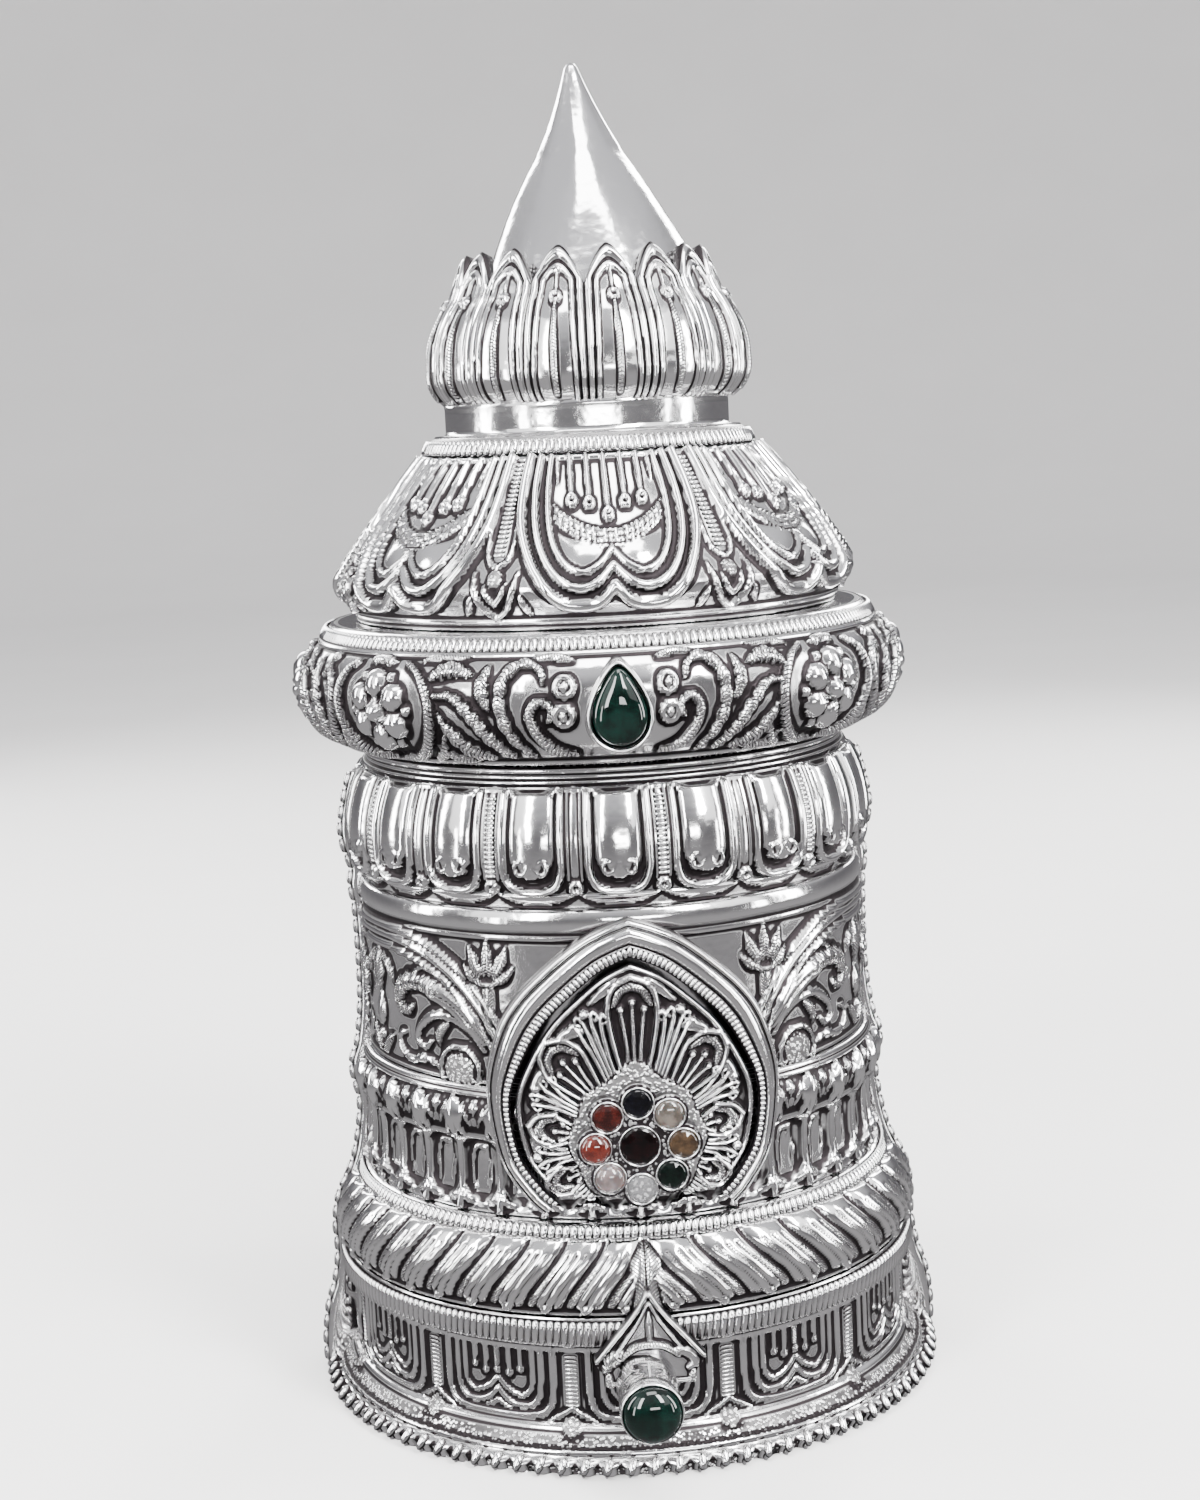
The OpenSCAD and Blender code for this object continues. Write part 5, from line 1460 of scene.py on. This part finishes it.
def bezel(radius, place, face, low, wall=0.42, high=0.55):
    """A thin turned collar around a stone."""
    profile = [(radius + wall, low), (radius + wall, face + high * 0.6), (radius + wall * 0.6, face + high),
               (radius + 0.05, face + high * 0.8), (radius - 0.12, face + high * 0.2), (radius - 0.12, low)]
    # painted shade at the collar's foot and down its inner wall
    dark = (0.8, 0.1, 0, 0, 0.5, 0.9)
    return closed_loop(turned_rings(profile, BEZEL_SIDES, place), cavity=np.repeat(dark, BEZEL_SIDES))


def stone_plate():
    """The matted plate with a lobe for each stone, and the collars that hold the stones."""
    turn = np.linspace(0, 2 * np.pi, 288, endpoint=False)
    off = fold(turn, 8)
    lobe = SMALL_STONE_R + 1.0
    reach = CLUSTER_R * np.cos(off) + np.sqrt(np.maximum(lobe**2 - (CLUSTER_R * np.sin(off)) ** 2, 0))
    back_r = FAN_R + 0.3
    # share of the reach, distance from the crown's axis, and how dark it is painted as shade on the plate's
    # edge and back
    levels = [(share, PLATE_FACE_R, 0.0) for share in np.linspace(0, 1, 28)[1:]]
    levels += [(1.0, PLATE_FACE_R - 0.35, 0.2), (0.985, PLATE_FACE_R - 2, 0.8), (0.985, back_r, 1.0)]
    share, level, sides = np.array(levels).T[:, :, None]
    x, z = share * reach * np.sin(turn), share * reach * np.cos(turn)
    rings = np.stack([x, -level + 0 * x, z + CLUSTER_Z], -1)

    # painted shade: the matted face is darker all over, and darker still where it meets a stone
    seats = [(*cluster_place(place), SMALL_STONE_R) for place in range(8)]
    seats.append((*cluster_place(0, 0), MIDDLE_STONE_R))
    near = np.min([np.abs(np.hypot(x - at_x, z + CLUSTER_Z - at_z) - r) for at_x, at_z, r in seats], axis=0)
    dark = np.maximum(0.3 + 0.6 * np.exp(-((near / 0.6) ** 2)), sides)
    matte = np.where(sides > 0.1, 0.0, 1.0) + 0 * x
    plate = Part(*capped(rings, (0, -PLATE_FACE_R, CLUSTER_Z), (0, -back_r, CLUSTER_Z)),
                 cavity=np.append(dark.ravel(), (0, 1)), matte=np.append(matte.ravel(), (1, 0)))
    collars = [
        bezel(SMALL_STONE_R, cluster_place(place), PLATE_FACE_R, PLATE_FACE_R - 0.6) for place in range(8)
    ]
    collars.append(bezel(MIDDLE_STONE_R, cluster_place(0, 0), PLATE_FACE_R, PLATE_FACE_R - 0.6, 0.36, 0.4))
    new_piece("stone_plate_raised", [plate, *collars], silver, ("stone_plate",))


DROP_SIDES = 120


def drop_rings(levels):
    """Drop outlines with their point up, each grown by a width and height, at a distance from the axis."""
    turn = np.linspace(-np.pi / 2, 1.5 * np.pi, DROP_SIDES, endpoint=False)
    narrowing = 1.12 - 0.62 * ((1 + np.sin(turn)) / 2) ** 1.5
    grow_w, grow_h, radius = np.array(levels, float).T[:, :, None]
    x = (TEARDROP_W + grow_w) / 2 * np.cos(turn) * narrowing
    z = (TEARDROP_H + grow_h) / 2 * np.sin(turn) + TEARDROP_Z
    return np.stack([x, -radius + 0 * x, z], -1)


def teardrop():
    """The drop-shaped cabochon and its smooth collar."""
    # grown width and height, and distance from the crown's axis
    collar = [
        (3.6, 3.8, 66), (3.2, 3.4, 69), (2.7, 2.9, 72.6), (2.3, 2.5, 73.3), (1.7, 1.8, 73.6),
        (1.0, 1.1, 73.4), (0.5, 0.6, 72.9), (0.4, 0.5, 71.4), (0.4, 0.5, 70.6),
    ]
    # painted shade on the collar's back and foot, and down its inner wall to the stone
    dark = (1, 0.9, 0.1, 0, 0, 0, 0.5, 0.9, 1)
    part = closed_loop(drop_rings(collar), cavity=np.repeat(dark, DROP_SIDES))
    new_piece("teardrop_collar", [part], smooth_silver)
    seat, top = 71.8, 75.85
    dome = [(0, 0, seat)]
    for a in np.linspace(0, np.pi / 2, 14)[:-1]:
        shrink = 1 - math.cos(a)
        dome.append((-TEARDROP_W * shrink, -TEARDROP_H * shrink, seat + 0.6 + 3.4 * math.sin(a)))
    body = Part(*capped(drop_rings(dome), (0, -seat, TEARDROP_Z), (0, -top, TEARDROP_Z)))
    new_piece("teardrop_stone_domed", [body], stones["green_cabochon"], ("teardrop_stone",))


def leaf_plaque():
    """The pointed leaf plate behind the jewel post: a gable with a double border over leaf scrolls."""
    top = PLAQUE_TOP_Z
    half = smooth([(0, top), (2.6, top - 4.6), (7, top - 10), (12.4, top - 16.4)], 9)
    low_half = smooth([(12.4, top - 16.4), (11.6, top - 18.6), (10.3, top - 20.2), (10.1, POST_Z - 1)], 6)
    half = np.vstack([half, low_half[1:]])
    outline = np.vstack([half, half[::-1] * (-1, 1)])[:-1]

    def shrunk(share):
        """The outline drawn in towards the plaque's middle."""
        return outline[:, 0] * share, PLAQUE_MIDDLE_Z + (outline[:, 1] - PLAQUE_MIDDLE_Z) * share

    x, z = shrunk(np.linspace(0.02, 1, 44)[:, None])
    relief = Relief(x.shape)
    # painted shade over the plaque's ground
    relief.paint_ground_shade(True, 0.35)
    relief.use(np.abs(x), z)
    gable = [(0.2, top - 1.2), (3.0, top - 5.6), (7.2, top - 10.8), (12, top - 16.6)]
    relief.stroke(gable, 0.8, 1.9, (1, 1))
    relief.stroke([(a * 0.86, b - 2.4) for a, b in gable], 0.5, 1.3, (1, 0.8))
    relief.stroke([(0, top - 6), (0, POST_Z + 9)], 0.8, 1.1, (0.5, 1))
    relief.stroke([(0, POST_Z + 8.6), (3.4, POST_Z + 8), (6.4, POST_Z + 5.6)], 0.9, 1.4, (1, 0.6), lines=0.7)
    relief.use(x, z)
    relief.stroke([(-5.4, POST_Z + 6.6), (-8.4, POST_Z + 5.4),
                   (-10.2, POST_Z + 2.6)], 2.0, 1.7, (0.5, 0.4), vein=0.5, lobes=4, lines=0.8)
    relief.stroke([(4.6, POST_Z + 7), (8, POST_Z + 6.4), (10, POST_Z + 4),
                   (8.6, POST_Z + 2.6)], 1.2, 1.7, (0.5, 0.6), vein=0.3)
    relief.use(np.abs(x), z)
    relief.stroke([(9.4, POST_Z + 1.6), (9.2, POST_Z - 1)], 1.0, 1.2, (0.7, 0.8), lines=0.7)
    front = around_axis(x, PLAQUE_FACE_R + relief.height, z)
    back_x, back_z = shrunk(np.array([1, 0.02])[:, None])
    back = around_axis(back_x, PLAQUE_BACK_R, back_z)
    plate = closed_loop(np.concatenate([front, back]), **relief.marks())
    new_piece("leaf_plaque_raised", [plate], silver, ("leaf_plaque",))


def base_jewel():
    """The post that stands out of the panel band, its collar and its round stone."""
    r, end = POST_R, BEZEL_END
    profile = [(r * 0.98, 68.9), (r, 69.4)]
    profile += [(r + 0.05 * math.sin(2.3 * y), y) for y in np.arange(71, end - 4.6, 0.9)]
    profile += [
        (r, end - 4.3), (BEZEL_R, end - 4), (BEZEL_R, end - 0.5), (BEZEL_R - 0.2, end),
        (BEZEL_R - 0.45, end - 0.05), (BASE_STONE_R + 0.1, end - 0.5), (BASE_STONE_R + 0.1, end - 2.1),
    ]
    # painted shade with patina: darkest at the post's foot and inside its collar, fading up the post
    dark = np.concatenate([[1, 0.7], np.linspace(0.35, 0, len(profile) - 9), [0.5, 0, 0, 0, 0, 0.6, 1]])
    post = turned_part(profile, 96, (POST_X, POST_Z), dark)
    new_piece("jewel_post_turned", [post], smooth_silver, ("jewel_post",))
    domed_stone("base_stone", "green_cabochon", BASE_STONE_R, 4.1, (POST_X, POST_Z), seat=end - 2.0, sink=1.5)


# edge of the side strips as radius and height
STRIP_EDGE = (
    (76, 1.5), (76, 9), (74.8, 17), (73, 22.5), (71.8, 30), (71.9, 38), (70.6, 45), (67.4, 51.5),
    (65.4, 58), (64, 68), (65.2, 75), (65.2, 79), (63.6, 84), (62.2, 96), (62.2, 116), (63, 122.5),
    (62.6, 127), (64.2, 133), (64.4, 138), (62.8, 146), (61.2, STRIP_TOP_Z),
)


def wall_radius(z):
    """Radius of the crown's wall at heights under the shoulder."""
    walls = (base_outline, leaf_outline, waist_outline, drum_outline, tongue_outline)
    points = np.concatenate([wall.points for wall in walls])
    points = points[np.argsort(points[:, 1], kind="stable")]
    return np.interp(z, points[:, 1], points[:, 0])


def side_strip(node, sign):
    """A ribbon with a row of leaf-shaped beads, over one side seam."""
    line = smooth(STRIP_EDGE, 6)
    step = directions(line)
    out = np.stack([step[:, 1], -step[:, 0]], 1)
    # corners of the ribbon: sideways, and outwards from the edge
    section = (
        (-0.9, -2.6), (-1.9, -1.6), (-2.0, -0.6), (-1.5, -0.25),
        (1.5, -0.25), (2.0, -0.6), (1.9, -1.6), (0.9, -2.6),
    )
    rows = []
    for y, depth in section:
        at = line + out * depth
        if depth < -2:
            at[:, 0] = np.minimum(at[:, 0], wall_radius(at[:, 1]) - 0.8)
        rows.append(np.stack([sign * at[:, 0], np.full(len(at), sign * y), at[:, 1]], -1))
    # painted shade on the ribbon's face under the beads and at its back against the wall
    ribbon = swept(np.stack(rows, 1), (0.3, 0.1, 0.1, 0.6, 0.6, 0.1, 0.1, 0.3))
    passed = lengths_along(line)
    spots = np.arange(2.4, passed[-1] - 1.6, 4.1)
    centre, along, outward = (at_lengths(values, passed, spots) for values in (line, step, out))
    side = np.tile((0.0, 1.0, 0.0), (len(spots), 1))

    def on_side(flat):
        """Flat radius and height as x, y and z at the strip's seam."""
        return np.stack([sign * flat[:, 0], np.zeros(len(flat)), flat[:, 1]], -1)

    axes = on_side(along), side, on_side(outward)
    beads = grains(on_side(centre - outward * 0.2), *axes, 2.15, 1.55, 1.25, 0.75)
    veins = grains(on_side(centre + outward * 0.75), *axes, 1.7, 0.3, 0.42, 0.9)
    new_piece(f"{node}_beaded", [ribbon, beads, veins], silver, (node,))


# the crown, from the bottom up
tier("base_ring", base_outline, 0.55, base_ornament, [
    *rim_claws(),
    cord(base_outline, 31.6, 3.2, 1.7, half_out=1.25),
    ladder(base_outline, unbroken(15 + 30 * np.arange(12)), 13.6, 26.4, 1.0, 1.6, lift=0.35),
])
tier("leaf_moulding", leaf_outline, 0.5, leaf_ornament, [cord(leaf_outline, 53.4, 1.7, 1.7)])
tier("fluted_waist", waist_outline, 0.55, waist_ornament)
tier("drum", drum_outline, 0.6, drum_ornament)
every_other = TONGUE_OFFSET + 9 + 36 * np.arange(10)
tier("tongue_collar", tongue_outline, 0.5, tongue_ornament, [
    ladder(tongue_outline, unbroken(every_other), 133.6, 150.6, 1.05, 1.45, half_out=0.85, lift=0.7),
])
tier("shoulder_ring", shoulder_outline, 0.6, shoulder_ornament, [cord(shoulder_outline, 184.9, 1.9, 1.75)])
between_petals = DOME_OFFSET + 180 / DOME_PETALS * (2 * np.arange(DOME_PETALS) + 1)
tier("petal_dome", dome_outline, 0.5, dome_ornament, [
    ladder(dome_outline, between_petals, 203.4, 223.2, 1.2, 1.4, lift=0.5),
], columns=560)
tier("neck_collar", neck_outline, 0.8, neck_ornament, [cord(neck_outline, 226.9, 2.0, 1.75)],
     columns=240, inner_ratio=4)
lotus_cup()
cone_finial()

# the front and the sides
arch_frame()
fan_panel()
stone_plate()
cut_stone("stone_middle", "dark_garnet", MIDDLE_STONE_R, cluster_place(0, 0))
cut_stone("stone_top", "dark_sapphire", SMALL_STONE_R, cluster_place(0))
domed_stone("stone_top_right", "cats_eye", SMALL_STONE_R, 1.6, cluster_place(1))
cut_stone("stone_right", "hessonite", SMALL_STONE_R, cluster_place(2))
cut_stone("stone_low_right", "dark_emerald", SMALL_STONE_R, cluster_place(3))
cut_stone("stone_bottom", "clear_stone", SMALL_STONE_R, cluster_place(4))
domed_stone("stone_low_left", "pearl", SMALL_STONE_R, 2.4, cluster_place(5))
domed_stone("stone_left", "coral", SMALL_STONE_R, 2.2, cluster_place(6))
cut_stone("stone_top_left", "dark_garnet", SMALL_STONE_R, cluster_place(7), tint="brown_garnet")
teardrop()
leaf_plaque()
base_jewel()
side_strip("side_strip_left", -1)
side_strip("side_strip_right", 1)


# floor, light and camera, with lengths in metres

FLOOR_FLAT_R, FLOOR_BEND_R = 2.4, 1.6
CROWN_MIDDLE = (0, 0, 0.16)


def floor():
    """A pale floor of matt paper that curves up far behind the crown on every side."""
    count = 128
    turn = np.linspace(0, 2 * np.pi, count, endpoint=False)
    line = [(0.01, 0), (0.5, 0), (1.5, 0)]
    for a in np.linspace(0, math.pi / 2, 12):
        line.append((FLOOR_FLAT_R + FLOOR_BEND_R * math.sin(a), FLOOR_BEND_R - FLOOR_BEND_R * math.cos(a)))
    rings = np.stack([np.stack([r * np.cos(turn), r * np.sin(turn), np.full(count, z)], -1) for r, z in line])
    mesh = bpy.data.meshes.new("floor")
    faces = ring_quads(len(line), count).tolist()
    faces.append(list(range(count)))
    mesh.from_pydata(rings.reshape(-1, 3).tolist(), [], faces)
    mesh.polygons.foreach_set("use_smooth", [True] * len(faces))
    paper = bpy.data.objects.new("floor", mesh)
    bpy.context.scene.collection.objects.link(paper)
    paper.visible_glossy = False
    material, tree, shader = new_material("pale_paper", Roughness=0.8)
    cloud = noise(tree, 6.0, 4.0)
    pale = blended(tree, cloud, (0.74, 0.73, 0.72, 1), (0.80, 0.79, 0.78, 1))
    wire(tree, shader.inputs["Base Color"], pale)
    bumped(tree, shader, 0.3, 0.0002, noise(tree, 700.0))
    mesh.materials.append(material)


# name, azimuth and elevation in degrees, distance, width and height, and power in watts
LAMPS = (
    ("key_right", 34, 36, 0.95, (0.22, 0.6), 22),
    ("front_left", -38, 24, 1.0, (0.2, 0.7), 15),
    ("front_low", 8, 4, 1.1, (0.5, 0.12), 4),
    ("wide_right", 52, 30, 1.3, (0.7, 0.9), 4),
    ("wide_left", -58, 26, 1.3, (0.6, 0.9), 3),
    ("streak_left", -54, -3, 1.1, (0.12, 0.45), 3),
    ("streak_right", 64, -3, 1.1, (0.1, 0.45), 2.5),
    ("overhead", 5, 72, 1.0, (0.6, 0.4), 10),
    ("side_right", 82, 12, 1.0, (0.2, 0.8), 11),
    ("side_left", -92, 16, 1.0, (0.2, 0.8), 10),
    ("back_right", 150, 30, 1.1, (0.3, 0.7), 12),
    ("back_left", -150, 28, 1.1, (0.3, 0.7), 11),
)


def area_light(name, azimuth, elevation, distance, size, power):
    """A soft light that faces the crown's middle, placed by angles round the front."""
    light = bpy.data.lights.new(name, "AREA")
    light.shape = "RECTANGLE"
    light.size, light.size_y = size
    light.energy = power
    holder = bpy.data.objects.new(name, light)
    a, e = math.radians(azimuth), math.radians(elevation)
    out = np.array([math.sin(a) * math.cos(e), -math.cos(a) * math.cos(e), math.sin(e)])
    holder.location = out * distance + CROWN_MIDDLE
    holder.rotation_euler = mathutils.Vector(-out).to_track_quat("-Z", "Y").to_euler()
    holder.visible_camera = False
    bpy.context.scene.collection.objects.link(holder)
    return holder


def backdrop_wash():
    """A wide lamp high above that lights the paper but is not mirrored in the silver."""
    lamp = area_light("backdrop_wash", 0, 90, 3.2, (4.0, 4.0), 90)
    lamp.visible_glossy = False


def studio_sky():
    """A dark room with a soft pale ceiling."""
    world = bpy.data.worlds.new("studio")
    bpy.context.scene.world = world
    world.use_nodes = True
    tree = world.node_tree
    direction = shade(tree, "TexCoord", {}, "Generated")
    height = shade(tree, "SeparateXYZ", {"Vector": direction}, "Z")
    low = blended(tree, eased(tree, height, -0.5, 0.1), (0.42, 0.41, 0.42, 1), (0.165, 0.16, 0.17, 1))
    colour = blended(tree, eased(tree, height, 0.1, 0.8), low, (0.9, 0.9, 0.94, 1))
    wire(tree, tree.nodes["Background"].inputs["Color"], colour)
    tree.nodes["Background"].inputs["Strength"].default_value = 0.9


# the camera's place, its turns in degrees and its lens, fitted to the rings of the crown
CAMERA_SPOT = (-0.031669, -0.571158, 0.235)
CAMERA_TURN, CAMERA_PITCH, CAMERA_ROLL = 3.1, 8.23, 2.77
CAMERA_LENS, CAMERA_SENSOR = 56.98, 36


def photo_camera():
    """The camera at the photograph's angle."""
    turn, pitch, roll = (math.radians(a) for a in (CAMERA_TURN, CAMERA_PITCH, CAMERA_ROLL))
    forward = mathutils.Vector((
        math.sin(turn) * math.cos(pitch), math.cos(turn) * math.cos(pitch), -math.sin(pitch)))
    right = mathutils.Vector((math.cos(turn), -math.sin(turn), 0))
    down = forward.cross(right)
    side = right * math.cos(roll) + down * math.sin(roll)
    upward = right * math.sin(roll) - down * math.cos(roll)
    data = bpy.data.cameras.new("camera")
    data.sensor_fit = "VERTICAL"
    data.sensor_height = CAMERA_SENSOR
    data.lens = CAMERA_LENS
    data.clip_start = 0.01
    camera = bpy.data.objects.new("camera", data)
    axes = mathutils.Matrix((side, upward, -forward)).transposed()
    camera.matrix_world = mathutils.Matrix.Translation(CAMERA_SPOT) @ axes.to_4x4()
    bpy.context.scene.collection.objects.link(camera)
    bpy.context.scene.camera = camera


floor()
studio_sky()
for lamp in LAMPS:
    area_light(*lamp)
backdrop_wash()
photo_camera()
